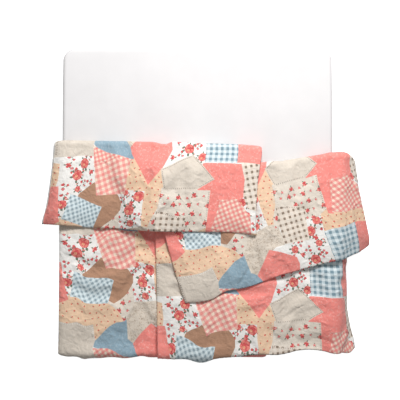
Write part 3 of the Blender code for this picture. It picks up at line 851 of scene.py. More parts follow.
# (ground, colour, whether they lie across the line, start, end)
STITCHES = [
    ("beige", "stitch_pale", True, (0.8, 70.8), (24.2, 70.3)),
    ("beige", "stitch_pale", True, (24.0, 71), (24.9, 80)),
    ("beige", "stitch_pale", True, (23.8, 85.3), (27.0, 91)),
    ("beige", "stitch", True, (1.1, 71.5), (1.1, 91)),
    ("beige", "stitch", False, (75.2, 17.8), (93.9, 9.0)),
    ("beige", "stitch", False, (94.3, 9.2), (109.6, 23.4)),
    ("beige", "stitch", False, (109.4, 23.6), (99.8, 29.2)),
    ("beige", "stitch", False, (78.5, 29.5), (75.0, 18.4)),
    ("beige", "stitch", True, (78.8, 29.7), (99.4, 29.2)),
    ("rosebud", "stitch", True, (107.8, 31), (107.8, 56.5)),
    ("rosebud", "stitch_pale", True, (77.2, 31), (77.0, 43)),
    ("blue_check", "stitch_pale", True, (103.2, 68), (103.2, 92)),
    ("brown_check", "stitch", True, (76.0, 44.6), (93.8, 48.7)),
    ("peach", "stitch_pale", True, (53, 92), (51.8, 110)),
    ("peach", "stitch_pale", True, (75.6, 110), (74.8, 122)),
]


def stitches(ground, colour, across, start, end):
    """Printed stitches along a line."""
    length = math.dist(start, end)
    dx, dy = (end[0] - start[0]) / length, (end[1] - start[1]) / length
    (lx, ly), (wx, wy) = ((-dy, dx), (dx, dy)) if across else ((dx, dy), (-dy, dx))
    steps = [STITCH_STEP * (n + 0.5) for n in range(int(length / STITCH_STEP))]
    return [(ground, colour, [(start[0] + dx * step + lx * p * STITCH_HALF + wx * q * THREAD_HALF,
                               start[1] + dy * step + ly * p * STITCH_HALF + wy * q * THREAD_HALF)
                              for p, q in ((-1, -1), (1, -1), (1, 1), (-1, 1))]) for step in steps]


print(sum(len(stitches(*line)) for line in STITCHES), "stitches along", len(STITCHES), "edges")

# %% [markdown]
# Last, the motifs are scattered over one repeat. The roses have their set places, with buds round them, and the small
# motifs follow a loose grid, as in a real all-over print. Each one names the ground that it is printed on, so it stops
# at a patch's edge. The random numbers are seeded, and the cloth is the same on every run.

# %% Scatter the motifs
ROSE_SPREAD = 1.2              # how much larger a rose is drawn than its radius in the table
STEPS = {"rosebud": 5.5, "peach": 4.0, "coral": 6.2, "twig": 2.3}      # centimetres between motifs on each ground


def inside(point, polygon):
    """Whether a point lies in a polygon."""
    x, y = point
    hit = False
    for (x0, y0), (x1, y1) in zip(polygon, polygon[1:] + polygon[:1]):
        if (y0 > y) != (y1 > y) and x < (x1 - x0) * (y - y0) / (y1 - y0) + x0:
            hit = not hit
    return hit


def ground_at(a, b):
    """The fabric printed at a point of the print."""
    found = "floral"
    for fabric, _, polygon in PATCHES:
        if any(inside((a, b % REPEAT + k * REPEAT), polygon) for k in (0, 1)):
            found = fabric
    return found


def scattered(ground, rng):
    """Loose grid of places over one repeat, with the number of each. Only the places on the ground are kept."""
    step = STEPS[ground]
    rows = round(REPEAT / step)
    for j in range(rows):
        for i in range(int(100 * DUVET_WIDTH / step) + 1):
            place = (step * (i + 0.5 * (j % 2)) + rng.uniform(-0.2, 0.2) * step,
                     REPEAT / rows * (j + 0.5) + rng.uniform(-0.2, 0.2) * step)
            if ground_at(*place) == ground:
                yield (*place, i + j)


def draw_motifs():
    """All motifs of one repeat as (ground, colour, polygon)."""
    rng = random.Random(7)
    marks = [("floral", *m) for a, b, radius in ROSES for m in rose(a, b, radius * ROSE_SPREAD, rng)]
    for a, b, radius in ROSES:
        for k in range(3):
            t, d = rng.uniform(0, 2 * math.pi), radius + rng.uniform(0.9, 2.2)
            x, y = a + d * math.cos(t), b + d * math.sin(t)
            marks.append(("floral", "leaf", placed(LEAF, x, y, 1.5, t + 1.3, 1.3)))
            bud = ring(x, y, rng.uniform(0.4, 0.6), 7, 0.2, 3, t)
            marks.append(("floral", "rose_red" if k % 2 else "rose_light", bud))
    for n, (a, b) in enumerate(SPRIGS):
        marks += [("floral", *m) for m in (sprig(a, b, rng) if n % 3 else small_rose(a, b, 1.7, rng))]
    for a, b, number in scattered("rosebud", rng):
        radius, red = (0.9, "bud_pink") if number % 2 else (1.55, "rose_red")
        marks += [("rosebud", *m) for m in small_rose(a, b, radius, rng, red)]
    for a, b, _ in scattered("peach", rng):
        t = rng.uniform(0, 2 * math.pi)
        marks.append(("peach", "leaf", placed(LEAF, a, b, 1.0, t)))
        marks.append(("peach", "dot", ring(a, b, rng.uniform(0.42, 0.58), 7, 0.18, 3, t)))
    for a, b, _ in scattered("coral", rng):
        marks += [("coral", *m) for m in blossom(a, b, rng.uniform(1.2, 1.7), rng)]
    for a, b, _ in scattered("twig", rng):
        marks += [("twig", *m) for m in twig(a, b, rng.uniform(1.5, 2.0), rng)]
    return marks + [mark for line in STITCHES for mark in stitches(*line)]


MOTIFS = draw_motifs()
print(len(MOTIFS), "printed shapes in one repeat")

# %% [markdown]
# ## Cutting the cloth
#
# One sheet of cloth is a rectangle of small triangles. A constrained Delaunay triangulation fits them to every edge
# of the print, so a petal or a patch has a crisp outline, and each triangle knows the shapes that it lies in. Where
# the cloth is folded away or lies underneath, the triangles are larger and only the patches are printed.

# %% Points of a sheet
WIDTH_CM, LENGTH_CM = 140.0, 200.0
RIM = 0.6                                         # centimetres along the seam that no printed shape reaches
FINE, COARSE, CLOSE = 0.84, 2.4, 0.4              # centimetres between points: in sight, hidden, and round the fold
COLUMNS = 176


def column_rows(name, number, fold):
    """Places of the points along one column of a sheet. Every other column skips what is hidden."""
    hidden = COARSE if number % 2 == 0 else None
    if number in (0, COLUMNS - 1):
        spans = [(0, FINE), (fold - 5, CLOSE), (fold + 5, FINE)]
    elif name == "face":
        spans = [(0, FINE), (fold - 50, hidden), (fold - 5, CLOSE), (fold + 5, hidden)]
    else:
        spans = [(0, hidden), (fold - 12, FINE), (fold - 5, CLOSE), (fold + 5, FINE)]
    rows = []
    for (start, step), end in zip(spans, [s for s, _ in spans[1:]] + [LENGTH_CM]):
        rows += [start] if step is None else list(np.linspace(start, end, round((end - start) / step) + 1)[:-1])
    return [float(v) for v in rows + [LENGTH_CM]]


def sheet_points(name, fold):
    """Points of a sheet, and the loop round its edge, anticlockwise."""
    places = np.linspace(0, WIDTH_CM, COLUMNS)
    folds = np.interp(places, np.linspace(0, WIDTH_CM, len(fold)), fold * 100)
    columns = [[(float(a), v) for v in column_rows(name, n, folds[n])] for n, a in enumerate(places)]
    points = [p for column in columns for p in column]
    index = {p: n for n, p in enumerate(points)}
    edge = [index[c[0]] for c in columns[:-1]] + [index[p] for p in columns[-1]]
    edge += [index[c[-1]] for c in columns[-2:0:-1]] + [index[p] for p in columns[0][:0:-1]]
    return points, edge


def clipped(polygon):
    """A polygon cut to the sheet, a rim's width inside its edge, with its points anticlockwise."""
    for axis, limit, sign in ((0, RIM, 1), (0, WIDTH_CM - RIM, -1), (1, RIM, 1), (1, LENGTH_CM - RIM, -1)):
        kept = []
        for p, q in zip(polygon, polygon[1:] + polygon[:1]):
            dp, dq = sign * (p[axis] - limit), sign * (q[axis] - limit)
            if dp >= 0:
                kept.append(p)
            if (dp >= 0) != (dq >= 0):
                t = dp / (dp - dq)
                kept.append((p[0] + (q[0] - p[0]) * t, p[1] + (q[1] - p[1]) * t))
        polygon = kept
        if len(polygon) < 3:
            return None
    turning = sum(p[0] * q[1] - p[1] * q[0] for p, q in zip(polygon, polygon[1:] + polygon[:1]))
    return polygon if turning > 0 else polygon[::-1]


def close_set(polygon, step):
    """The same polygon with more points along its long sides, so that the sides can follow crumpled cloth."""
    points = []
    for p, q in zip(polygon, polygon[1:] + polygon[:1]):
        count = max(1, round(math.dist(p, q) / step))
        points += [(p[0] + (q[0] - p[0]) * k / count, p[1] + (q[1] - p[1]) * k / count) for k in range(count)]
    return points


print("points of a face:", len(sheet_points("face", duvets["left"]["fold"])[0]))

# %% [markdown]
# The print runs along the cloth: b = sign * v + phase, where v is measured from the foot end. Wide cotton is never
# printed and sewn quite true, so the print is also pulled a little off line across the width, and drawn in at some
# seams. At the free ends the patches keep straight while the hem waves, because the cloth there turns under by more
# or less. Two functions lead from the cloth to the print and back, so that the shapes and their colours always agree.
# How far the print is pulled and drawn in was read off the photograph as well, and goes when the layout is replaced.

# %% Place the print
COLOURS = ["floral", "coral", "blue", "beige", "brown", "peach", "rosebud", "twig", "pink_gingham", "fine_gingham",
           "blue_gingham", "blue_check", "brown_check", "rose_red", "rose_light", "rose_dark", "rose_heart", "leaf",
           "bud_pink", "dot", "blossom", "twig_line", "stitch", "stitch_pale"]

# For each sheet (sign, phase), then tables of (a, shift) that say how far the print is pulled along and drawn in.
PRINTED = {
    ("left", "face"): (-1, 94.5), ("left", "back"): (1, -143.0),
    ("right", "face"): (-1, 49.5), ("right", "back"): (1, -111.5),
}
PULLED = {("left", "face"): [(0, -3), (14, 0), (26, 3), (42, 2.5), (55, 0.5), (66, -1.5), (140, -1.5)]}
DRAWN_IN = {("left", "face"): [(0, 3.8), (10, 3.2), (28, 0), (140, 0)],
            ("left", "back"): [(0, -1.5), (8, -3.2), (15, -3.2), (30, 0), (140, 0)]}
CLOTH = np.arange(0, WIDTH_CM + 1)
EASE = 8                       # centimetres to each side over which a shift is averaged


def eased(table):
    """A table of (a, shift) as a soft curve across the cloth."""
    wide = np.interp(np.arange(-EASE, WIDTH_CM + EASE + 1), *zip(*table))
    return np.convolve(wide, np.ones(2 * EASE + 1) / (2 * EASE + 1), "valid")


def print_lines(key):
    """Place, shift and waving hem of a sheet's print for each centimetre across it."""
    shape, body = (LEFT if key[0] == "left" else RIGHT), key[1] == "face"
    still = [(0, 0), (WIDTH_CM, 0)]
    return {"a": CLOTH + eased(DRAWN_IN.get(key, still)), "b": eased(PULLED.get(key, still)),
            "hem": 100 * hem_wave(body, shape, CLOTH / WIDTH_CM)[1]}


LINES = {key: print_lines(key) for key in PRINTED}


def turned_under(key, a, v):
    """How far the cloth has slipped towards the waving hem, in centimetres."""
    end = v if key[1] == "face" else LENGTH_CM - v
    return np.interp(a, CLOTH, LINES[key]["hem"]) * np.exp(-np.maximum(end, 0) / (100 * HEM_WAVE))


def print_place(key, a, v):
    """Which place of the print lies at a place of the cloth, in centimetres."""
    sign, phase = PRINTED[key]
    b = sign * (v + turned_under(key, a, v)) + phase + np.interp(a, CLOTH, LINES[key]["b"])
    return np.interp(a, CLOTH, LINES[key]["a"]), b


def cloth_place(key, outline, lift):
    """The other way round, for the outline of a printed shape, lift centimetres further down the print."""
    sign, phase = PRINTED[key]
    printed = np.array(outline)
    a = np.interp(printed[:, 0], LINES[key]["a"], CLOTH)
    a += np.minimum(printed[:, 0] - LINES[key]["a"][0], 0) + np.maximum(printed[:, 0] - LINES[key]["a"][-1], 0)
    target = (printed[:, 1] + lift - phase - np.interp(a, CLOTH, LINES[key]["b"])) / sign
    v = target
    for _ in range(6):
        v = target - turned_under(key, a, v)
    return list(zip(a.tolist(), v.tolist()))


print("the hems stray by up to", round(max(abs(lines["hem"]).max() for lines in LINES.values()), 1), "cm")

# %% [markdown]
# Each sheet is cut with the patches and the motifs in it. The triangulation reports which shapes each triangle lies
# in: the last patch among them gives the ground, and the last motif that belongs to that ground gives the colour. Real
# cotton turns in at the seam, so its last few millimetres take the colour beside them.

# %% Cut the sheets
PATCH_STEP = 4.0               # centimetres between the points of a patch's outline before it is laid on the cloth


def in_sight(key, polygon, fold):
    """Whether a motif lies on the part of a sheet that can be seen."""
    a, v = (sum(c) / len(polygon) for c in zip(*polygon))
    past = v - 100 * fold[min(len(fold) - 1, int(a / WIDTH_CM * len(fold)))]
    return past < -47 if key[1] == "face" else past > -9


def cut_sheet(key, fold):
    """Flat triangles of one sheet, with the colour and the patch of each."""
    sign, phase = PRINTED[key]
    points, edge = sheet_points(key[1], fold)
    faces, meaning = [edge], [None]
    low, high = sorted((phase, sign * LENGTH_CM + phase))
    shapes = [("patch", n, fabric, polygon) for n, (fabric, _, polygon) in enumerate(PATCHES)]
    shapes += [(ground, 0, colour, polygon) for ground, colour, polygon in MOTIFS]
    for kind, number, colour, polygon in shapes:
        outline = close_set(polygon, PATCH_STEP)
        for k in range(math.floor(low / REPEAT) - 2, math.ceil(high / REPEAT) + 1):
            flat = clipped(cloth_place(key, outline, k * REPEAT))
            if flat and (kind == "patch" or in_sight(key, flat, fold)):
                flat = close_set(flat, FINE)
                faces.append(list(range(len(points), len(points) + len(flat))))
                points += flat
                meaning.append((kind, number, colour))
    verts, _, tris, _, _, origin = delaunay_2d_cdt([Vector(p) for p in points], [], faces, 0, 1e-4)
    keep, colours, patch = [], [], []
    for tri, sources in zip(tris, origin):
        if 0 not in sources:
            continue
        patches = [meaning[s] for s in sources if s and meaning[s][0] == "patch"]
        top = max(patches, key=lambda m: m[1]) if patches else ("patch", -1, "floral")
        marks = [s for s in sources if s and meaning[s][0] == top[2]]
        keep.append(tri)
        patch.append(top[1])
        colours.append(COLOURS.index(meaning[max(marks)][2] if marks else top[2]))
    return np.array([tuple(v) for v in verts]), np.array(keep), np.array(colours), np.array(patch)


def rim_coloured(flat, tris, colours, patch):
    """Gives the rim, which no printed shape reaches, the colour of the cloth next to it."""
    centre = flat[tris].mean(axis=1)
    rim = (np.minimum(centre[:, 0], WIDTH_CM - centre[:, 0]) < RIM) | \
          (np.minimum(centre[:, 1], LENGTH_CM - centre[:, 1]) < RIM)
    tree = KDTree(int((~rim).sum()))
    for n in np.nonzero(~rim)[0]:
        tree.insert((*centre[n], 0), int(n))
    tree.balance()
    for n in np.nonzero(rim)[0]:
        near = tree.find((*centre[n], 0))[1]
        colours[n], patch[n] = colours[near], patch[near]
    return flat, tris, colours, patch


sheets = {}
for key in PRINTED:
    sheets[key] = rim_coloured(*cut_sheet(key, duvets[key[0]]["fold"]))
    print(*key, len(sheets[key][1]), "triangles")

# %% [markdown]
# ## Wrapping the sheets round the filling
#
# A point of the flat cloth is read off its crumpled shell with the same cubic curves as before, so the cloth stays
# smooth between the grid's points. Both sheets share the points round their edge: that is the seam. The flat places
# also become the UV coordinates, in real metres and turned with the threads of each patch, so checks and weave follow
# the cloth over every fold.

# %% Wrap
def check_uv(key, flat, patch):
    """Coordinates along the threads of each patch, in metres, turned with the patch."""
    turns = np.radians([angle for _, angle, _ in PATCHES] + [0.0])[patch]
    a, b = (side / 100 for side in print_place(key, flat[..., 0], flat[..., 1]))
    c, s = np.cos(turns)[:, None], np.sin(turns)[:, None]
    return np.stack([a * c + b * s, b * c - a * s], axis=-1)


def seam_numbered(flat, place, seam, points):
    """Numbers of a sheet's points in the mesh, where both sheets have the same ones along the seam."""
    number = np.empty(len(flat), int)
    for n, (a, v) in enumerate(flat):
        on_edge = min(a, WIDTH_CM - a, v, LENGTH_CM - v) < 1e-3
        key = (round(float(a), 2), round(float(v), 2)) if on_edge else None
        if key in seam:
            number[n] = seam[key]
            continue
        number[n] = len(points)
        points.append(place[n])
        if on_edge:
            seam[key] = number[n]
    return number


def mesh_from(name, points, faces, colours, uvs, materials):
    """Smooth mesh of triangles, with a material number and three UV places for each."""
    mesh = bpy.data.meshes.new(name)
    mesh.vertices.add(len(points))
    mesh.vertices.foreach_set("co", points.ravel())
    mesh.loops.add(faces.size)
    mesh.loops.foreach_set("vertex_index", faces.ravel().astype(np.int32))
    mesh.polygons.add(len(faces))
    mesh.polygons.foreach_set("loop_start", np.arange(0, faces.size, 3, dtype=np.int32))
    mesh.polygons.foreach_set("material_index", colours.astype(np.int32))
    mesh.update(calc_edges=True)
    mesh.uv_layers.new(name="cloth").data.foreach_set("uv", uvs.reshape(-1).astype(np.float32))
    mesh.polygons.foreach_set("use_smooth", np.ones(len(faces), bool))
    for material in materials:
        mesh.materials.append(material)
    obj = bpy.data.objects.new(name, mesh)
    bpy.context.collection.objects.link(obj)
    return obj


def wrap(side, materials):
    """One closed mesh of a duvet's two sheets."""
    points, faces, colours, uvs, seam = [], [], [], [], {}
    for name in ("face", "back"):
        flat, tris, colour, patch = sheets[side, name]
        place = cubic_read(duvets[side]["shell"][name], flat[:, 1] / 100 / GRID_STEP_V, flat[:, 0] / 100 / GRID_STEP_U)
        number = seam_numbered(flat, place, seam, points)
        uv = check_uv((side, name), flat[tris], patch)
        if name == "back":
            tris, uv = tris[:, ::-1], uv[:, ::-1]
        faces.append(number[tris])
        colours.append(colour)
        uvs.append(uv)
    return mesh_from("duvet_cover_" + side, np.array(points), np.vstack(faces), np.concatenate(colours),
                     np.vstack(uvs), materials)


print("each cover's two sheets will share one seam of", round(2 * (DUVET_WIDTH + DUVET_LENGTH), 2), "m")

# %% [markdown]
# ## Printed cotton
#
# The cover is cotton renforce, a plain weave of about 30 threads to the centimetre. Single threads are too fine to
# show at this distance, so the weave is drawn eight times as coarse. Ink sinks into cotton, which stays matt, with a
# faint sheen at grazing angles from its loose fibres. Washed cotton also keeps small creases, which are too shallow
# for the mesh and are left to the bump: fine washed ones, sharper ones that were pressed in when the cover lay folded,
# and soft swells where the fibres have gathered. Each of them is one noise, from the finest to the widest.

# %% Weave and creases
THREAD = 0.0026                # one drawn thread and its gap, in metres
WASHED_SIZE = 0.034            # washed creases, in metres
PRESSED_SIZE = WASHED_SIZE / 0.45      # pressed creases, 76 mm
SWELL_SIZE = 0.090             # soft swells of the filling, in metres


def cotton_surface(tree, uv):
    """Normal of the cloth: warp and weft that swap places from thread to thread, on creases and soft swells."""
    sides = add_node(tree, "ShaderNodeSeparateXYZ", {0: uv})
    waves = []
    for side in (0, 1):
        turn = add_node(tree, "ShaderNodeMath", {0: sides.outputs[side], 1: math.pi / THREAD}, operation="MULTIPLY")
        waves.append(add_node(tree, "ShaderNodeMath", {0: turn}, operation="SINE"))
    threads = add_node(tree, "ShaderNodeMath", {0: waves[0], 1: waves[1]}, operation="MULTIPLY")
    slubs = add_node(tree, "ShaderNodeTexNoise", {"Vector": uv, "Scale": 160.0, "Detail": 3.0})
    weave = add_node(tree, "ShaderNodeMath", {0: slubs, 1: 1.4, 2: threads}, operation="MULTIPLY_ADD")
    fine = add_node(tree, "ShaderNodeBump", {"Height": weave, "Distance": 0.0004, "Strength": 0.3})
    place = add_node(tree, "ShaderNodeTexCoord").outputs["Object"]
    washed = add_node(tree, "ShaderNodeTexNoise", {"Vector": place, "Scale": 1 / WASHED_SIZE, "Detail": 4.0,
                                                   "Roughness": 0.55, "Distortion": 0.8})
    soft = add_node(tree, "ShaderNodeBump", {"Height": washed, "Distance": 0.007, "Strength": 0.85, "Normal": fine})
    pressed = add_node(tree, "ShaderNodeTexNoise", {"Vector": place, "Scale": 1 / PRESSED_SIZE, "Detail": 3.0,
                                                    "Distortion": 1.0}, noise_type="RIDGED_MULTIFRACTAL")
    creased = add_node(tree, "ShaderNodeBump", {"Height": pressed, "Distance": 0.012, "Strength": 0.6, "Normal": soft})
    swells = add_node(tree, "ShaderNodeTexNoise", {"Vector": place, "Scale": 1 / SWELL_SIZE, "Detail": 1.0})
    return add_node(tree, "ShaderNodeBump", {"Height": swells, "Distance": 0.02, "Strength": 0.3, "Normal": creased})


def cotton(name, ground, draw=None):
    """Printed cotton. draw(tree, uv, ground) returns the colour socket of what is printed on the ground."""
    material, tree, shader = new_material(name, Roughness=0.88, Sheen_Weight=0.12, Sheen_Roughness=0.5,
                                          Specular_IOR_Level=0.25)
    uv = add_node(tree, "ShaderNodeUVMap", uv_map="cloth").outputs[0]
    colour = draw(tree, uv, linear(ground)) if draw else linear(ground)
    mottle = add_node(tree, "ShaderNodeTexNoise", {"Vector": uv, "Scale": 45.0, "Detail": 4.0})
    uneven = add_node(tree, "ShaderNodeMapRange", {0: mottle, 3: 0.0, 4: 0.10})
    inked = add_node(tree, "ShaderNodeMix", {0: uneven, 6: colour, 7: linear("8C7F76")}, data_type="RGBA")
    tree.links.new(inked.outputs[2], shader.inputs["Base Color"])
    tree.links.new(cotton_surface(tree, uv).outputs[0], shader.inputs["Normal"])
    return material


print("a drawn thread is", THREAD * 1000, "mm wide")

# %% [markdown]
# The plainest patterns need no cut shapes. A gingham is two sets of stripes that cross, and where they cross it is
# dark, as when dyed threads meet. Flecks and pin dots are a noise and a cell pattern with most of their range cut off.
# Their sizes are the real ones in metres, measured along the threads.

# %% Printed patterns
def gingham(pitch, mid, dark, share=0.5):
    """Checks of two crossing stripes, darkest where they cross. share is how much of the pitch a stripe takes."""
    def draw(tree, uv, ground):
        sides = add_node(tree, "ShaderNodeSeparateXYZ", {0: uv})
        stripes = []
        for side in (0, 1):
            along = add_node(tree, "ShaderNodeMath", {0: sides.outputs[side], 1: 2 / pitch}, operation="MULTIPLY")
            saw = add_node(tree, "ShaderNodeMath", {0: along, 1: 1.0}, operation="PINGPONG")
            band = {0: saw, 1: share - 0.1, 2: share + 0.1, 3: 1.0, 4: 0.0}
            stripes.append(add_node(tree, "ShaderNodeMapRange", band, interpolation_type="SMOOTHSTEP"))
        either = add_node(tree, "ShaderNodeMath", {0: stripes[0], 1: stripes[1]}, operation="MAXIMUM")
        both = add_node(tree, "ShaderNodeMath", {0: stripes[0], 1: stripes[1]}, operation="MULTIPLY")
        striped = add_node(tree, "ShaderNodeMix", {0: either, 6: ground, 7: linear(mid)}, data_type="RGBA")
        return add_node(tree, "ShaderNodeMix", {0: both, 6: striped.outputs[2], 7: linear(dark)},
                        data_type="RGBA").outputs[2]
    return draw


def flecks(light, size, cover, stretch=1.0):
    """Small pale flecks. cover is the share of the noise's range that they take."""
    def draw(tree, uv, ground):
        place = add_node(tree, "ShaderNodeMapping", {"Vector": uv, "Scale": (1.0, stretch, 1.0)})
        noise = add_node(tree, "ShaderNodeTexNoise", {"Vector": place, "Scale": 1 / size, "Detail": 2.0})
        mask = add_node(tree, "ShaderNodeMapRange", {0: noise, 1: 1 - cover, 2: 1.05 - cover})
        return add_node(tree, "ShaderNodeMix", {0: mask, 6: ground, 7: linear(light)}, data_type="RGBA").outputs[2]
    return draw


def pin_dots(light, pitch, radius):
    """Even rows of fine dots."""
    def draw(tree, uv, ground):
        dots = add_node(tree, "ShaderNodeTexVoronoi", {"Vector": uv, "Scale": 1 / pitch, "Randomness": 0.15})
        mask = add_node(tree, "ShaderNodeMapRange", {0: dots, 1: radius / pitch, 2: radius / pitch * 0.6})
        return add_node(tree, "ShaderNodeMix", {0: mask, 6: ground, 7: linear(light)}, data_type="RGBA").outputs[2]
    return draw


print("the widest gingham repeats every 38 mm")

# %% [markdown]
# Each printed colour is one cotton: its ground, and what is printed on it. The colours are what the eye sees in even
# light, a little paler than the inks, because white threads show between them.

# %% Printed cottons
COTTONS = {
    "floral": ("F4F1EC", flecks("F8F6F2", 0.010, 0.5)),
    "coral": ("F99188", flecks("FA9B92", 0.012, 0.45, 0.6)),
    "blue": ("94AFBE", flecks("A5BBC7", 0.010, 0.45, 0.7)),
    "beige": ("DDD2C4", flecks("E1D7CA", 0.009, 0.45, 0.5)),
    "brown": ("B88D72", pin_dots("CBA690", 0.010, 0.0016)),
    "peach": ("F3CFAE", flecks("F5D4B6", 0.014, 0.45)),
    "rosebud": ("E7DCCE", flecks("EEE5D9", 0.009, 0.42)),
    "twig": ("E2D6C7", flecks("CDBDAA", 0.008, 0.42)),
    "pink_gingham": ("F9E3CE", gingham(0.038, "F5B7AC", "EF968E")),
    "fine_gingham": ("F9E3CE", gingham(0.0275, "F4AFA5", "EE8F88")),
    "blue_gingham": ("E4F0F3", gingham(0.0272, "CCDCE1", "96A8B1")),
    "blue_check": ("E3EDF0", gingham(0.0365, "C1D2D8", "7E98A5")),
    "brown_check": ("F0E5D8", gingham(0.0375, "E8DACB", "8F7E6E", 0.42)),
    "rose_red": ("D9595A", None), "rose_light": ("EE8B80", None), "rose_dark": ("B8424C", None),
    "rose_heart": ("F5B28E", None), "leaf": ("6D7A66", None), "bud_pink": ("E07F80", None),
    "dot": ("E0665A", None), "blossom": ("FFB9AE", None), "twig_line": ("AA9580", None),
    "stitch": ("8A7B70", None), "stitch_pale": ("F5F0E8", None),
}
cottons = [cotton("printed_cotton_" + name, *COTTONS[name]) for name in COLOURS]
print(len(cottons), "printed cottons")

# %% [markdown]
# Now the sheets are wrapped, and each cover stands in for its CAD solid: it rides on the one body, and the solid is
# hidden. A cover and its filling are one piece here, because nothing of the filling shows.

# %% Dress the duvets
for side in ("left", "right"):
    cover = wrap(side, cottons)
    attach(cover, "root")
    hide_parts("duvet_" + side)
    print(cover.name, len(cover.data.vertices), "points", len(cover.data.polygons), "triangles")

# %% [markdown]
# ## The mattress
#
# The mattress wears a fitted sheet of cotton jersey, drawn smooth over the top and tucked under. Jersey is knitted: it
# stretches over the soft core, so it lies without creases and is a little matter than woven cotton. Its stitches are
# under a millimetre wide and too fine to show, so they are drawn four times as coarse.

# %% Cotton jersey
def jersey():
    """White knitted cotton: a fine grain of stitches on the soft unevenness of the pull."""
    material, tree, shader = new_material("cotton_jersey_white", Roughness=0.9, Sheen_Weight=0.1)
    place = add_node(tree, "ShaderNodeTexCoord").outputs["Object"]
    knit = add_node(tree, "ShaderNodeTexNoise", {"Vector": place, "Scale": 220.0, "Detail": 2.0})
    pull = add_node(tree, "ShaderNodeTexNoise", {"Vector": place, "Scale": 6.0, "Detail": 3.0})
    height = add_node(tree, "ShaderNodeMath", {0: pull, 1: 6.0, 2: knit}, operation="MULTIPLY_ADD")
    bump = add_node(tree, "ShaderNodeBump", {"Height": height, "Distance": 0.0008, "Strength": 0.3})
    tint = add_node(tree, "ShaderNodeMix", {0: pull, 6: linear("DEDCDC"), 7: linear("E8E6E6")}, data_type="RGBA")
    tree.links.new(bump.outputs[0], shader.inputs["Normal"])
    tree.links.new(tint.outputs[2], shader.inputs["Base Color"])
    return material


sheet = jersey()
print(sheet.name, "has", len(sheet.node_tree.nodes), "nodes")

# %% [markdown]
# The mattress is a block with soft corners and edges. A bevelled cube would do, but its sides would be dead straight,
# while a sheet pulled tight draws them in towards the corners. So it is a stack of rounded rings, drawn in like that.

# %% Mattress in its fitted sheet
SHEET_CORNER, SHEET_EDGE, SHEET_BOW = 0.080, 0.030, 0.006      # radius of corners and edges, and share drawn in
CORNER_STEPS, SIDE_STEPS, EDGE_STEPS, WALL_STEPS = 12, 40, 8, 6


def rounded_outline(half_x, half_y):
    """Points (x, y) on which the corner rounds are centred, with the direction out of the outline at each."""
    outline = []
    for quarter, (sx, sy) in enumerate(((1, 1), (-1, 1), (-1, -1), (1, -1))):
        corner = (sx * (half_x - SHEET_CORNER), sy * (half_y - SHEET_CORNER))
        nxt = (-corner[0], corner[1]) if quarter % 2 == 0 else (corner[0], -corner[1])
        for k in range(CORNER_STEPS + 1):
            turn = math.pi / 2 * (quarter + k / CORNER_STEPS)
            outline.append((*corner, math.cos(turn), math.sin(turn)))
        for k in range(1, SIDE_STEPS):
            t = k / SIDE_STEPS
            outline.append((corner[0] + (nxt[0] - corner[0]) * t, corner[1] + (nxt[1] - corner[1]) * t,
                            round(math.cos(turn), 9), round(math.sin(turn), 9)))
    return outline


def ring_levels(height):
    """Each ring's inset and height, round the lower edge, up the wall and round the upper edge."""
    low, high = [], []
    for k in range(EDGE_STEPS + 1):
        turn = math.pi / 2 * (k / EDGE_STEPS - 1)
        low.append((SHEET_EDGE * (1 - math.cos(turn)), SHEET_EDGE * (1 + math.sin(turn))))
        turn = math.pi / 2 * k / EDGE_STEPS
        high.append((SHEET_EDGE * (1 - math.cos(turn)), height - SHEET_EDGE * (1 - math.sin(turn))))
    wall = [(0.0, SHEET_EDGE + (height - 2 * SHEET_EDGE) * k / WALL_STEPS) for k in range(1, WALL_STEPS)]
    return low + wall + high


def mattress(material):
    """Rings of points from the underside to the top, drawn in towards the corners."""
    half_x, half_y = BED_HIGH[:2]
    outline, levels, points = rounded_outline(half_x, half_y), ring_levels(BED_TOP), []
    for inset, z in levels:
        for cx, cy, nx, ny in outline:
            x, y = cx + (SHEET_CORNER - inset) * nx, cy + (SHEET_CORNER - inset) * ny
            points.append((x * (1 - SHEET_BOW * (y / half_y) ** 2), y * (1 - SHEET_BOW * (x / half_x) ** 2), z))
    n = len(outline)
    faces = [(j * n + i, j * n + (i + 1) % n, (j + 1) * n + (i + 1) % n, (j + 1) * n + i)
             for j in range(len(levels) - 1) for i in range(n)]
    faces += [tuple(range(n))[::-1], tuple(range((len(levels) - 1) * n, len(levels) * n))]
    mesh = bpy.data.meshes.new("mattress_in_fitted_sheet")
    mesh.from_pydata(points, [], faces)
    mesh.polygons.foreach_set("use_smooth", [True] * len(mesh.polygons))
    mesh.materials.append(material)
    obj = bpy.data.objects.new(mesh.name, mesh)
    bpy.context.collection.objects.link(obj)
    return obj


bed = mattress(sheet)
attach(bed, "root")
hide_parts("mattress")
print(bed.name, len(bed.data.polygons), "faces")

# %% [markdown]
# ## Floor and light
#
# The floor is a white paper sweep, as in a studio. It glows a little, as a sweep does under its own lamps, so the bed
# leaves no grey halo round it. Its glow doesn't reach the bed, which would otherwise look lit from below.

# %% Floor
FLOOR_HALF, FLOOR_DROP = 30, 0.0005          # half its side, and how far it lies under the bed, in metres


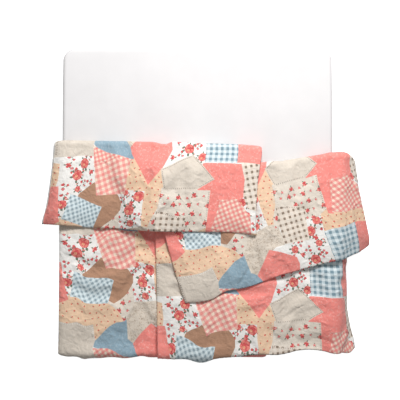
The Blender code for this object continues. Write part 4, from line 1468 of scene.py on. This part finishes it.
def paper_sweep():
    """White paper floor, marked as no part of the object."""
    corners = [(sx * FLOOR_HALF, sy * FLOOR_HALF, 0) for sx, sy in ((-1, -1), (1, -1), (1, 1), (-1, 1))]
    mesh = bpy.data.meshes.new("floor")
    mesh.from_pydata(corners, [], [(0, 1, 2, 3)])
    material, _, _ = new_material("white_paper", Base_Color=linear("FFFFFF"), Roughness=0.9,
                                  Emission_Color=linear("FFFFFF"), Emission_Strength=0.80)
    mesh.materials.append(material)
    floor = bpy.data.objects.new("floor", mesh)
    bpy.context.collection.objects.link(floor)
    floor.location.z = -FLOOR_DROP
    floor.visible_diffuse = False
    floor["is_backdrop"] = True
    return floor


print(paper_sweep().name, "is", 2 * FLOOR_HALF, "m wide")

# %% [markdown]
# Bedding is lit from nearly everywhere. A pale world fills the shadows, brighter above than at the horizon, and one
# large soft lamp high over the head of the bed lets the slopes towards the foot fall off into shade. A hard lamp would
# draw every crease too dark, and a world alone would show none.

# %% Light
LAMP_PLACE, LAMP_AIM, LAMP_WATTS = (0.8, 3.6, 4.1), (0, -0.1, 0.2), 300


def light_room():
    """Pale world and one softbox."""
    world = bpy.data.worlds.new("studio")
    world.use_nodes = True
    sky, background = world.node_tree, world.node_tree.nodes["Background"]
    direction = add_node(sky, "ShaderNodeSeparateXYZ", {0: add_node(sky, "ShaderNodeTexCoord")})
    strength = add_node(sky, "ShaderNodeMapRange", {0: direction.outputs[2], 1: -0.1, 2: 0.2, 3: 0.13, 4: 0.30})
    sky.links.new(strength.outputs[0], background.inputs["Strength"])
    background.inputs["Color"].default_value = linear("FFFFFF")
    bpy.context.scene.world = world

    lamp = bpy.data.lights.new("softbox", "AREA")
    lamp.shape, lamp.size, lamp.size_y, lamp.energy = "RECTANGLE", 2.4, 1.6, LAMP_WATTS
    box = bpy.data.objects.new("softbox", lamp)
    bpy.context.collection.objects.link(box)
    box.location = LAMP_PLACE
    box.rotation_euler = (Vector(LAMP_AIM) - box.location).to_track_quat("-Z", "Y").to_euler()
    bpy.context.scene.view_settings.view_transform = "Standard"
    return box


print(light_room().name, "shines with", LAMP_WATTS, "W")

# %% [markdown]
# ## The boxes
#
# The boxes of the CAD solids and of the finished pieces are printed, so that the two can be compared. Crumples
# may stand a few millimetres proud of the solids.

# %% Finish
VISUAL_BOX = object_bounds()
print("CAD box and visual box:", [[round(c, 3) for c in corner] for box in (CAD_BOX, VISUAL_BOX) for corner in box])
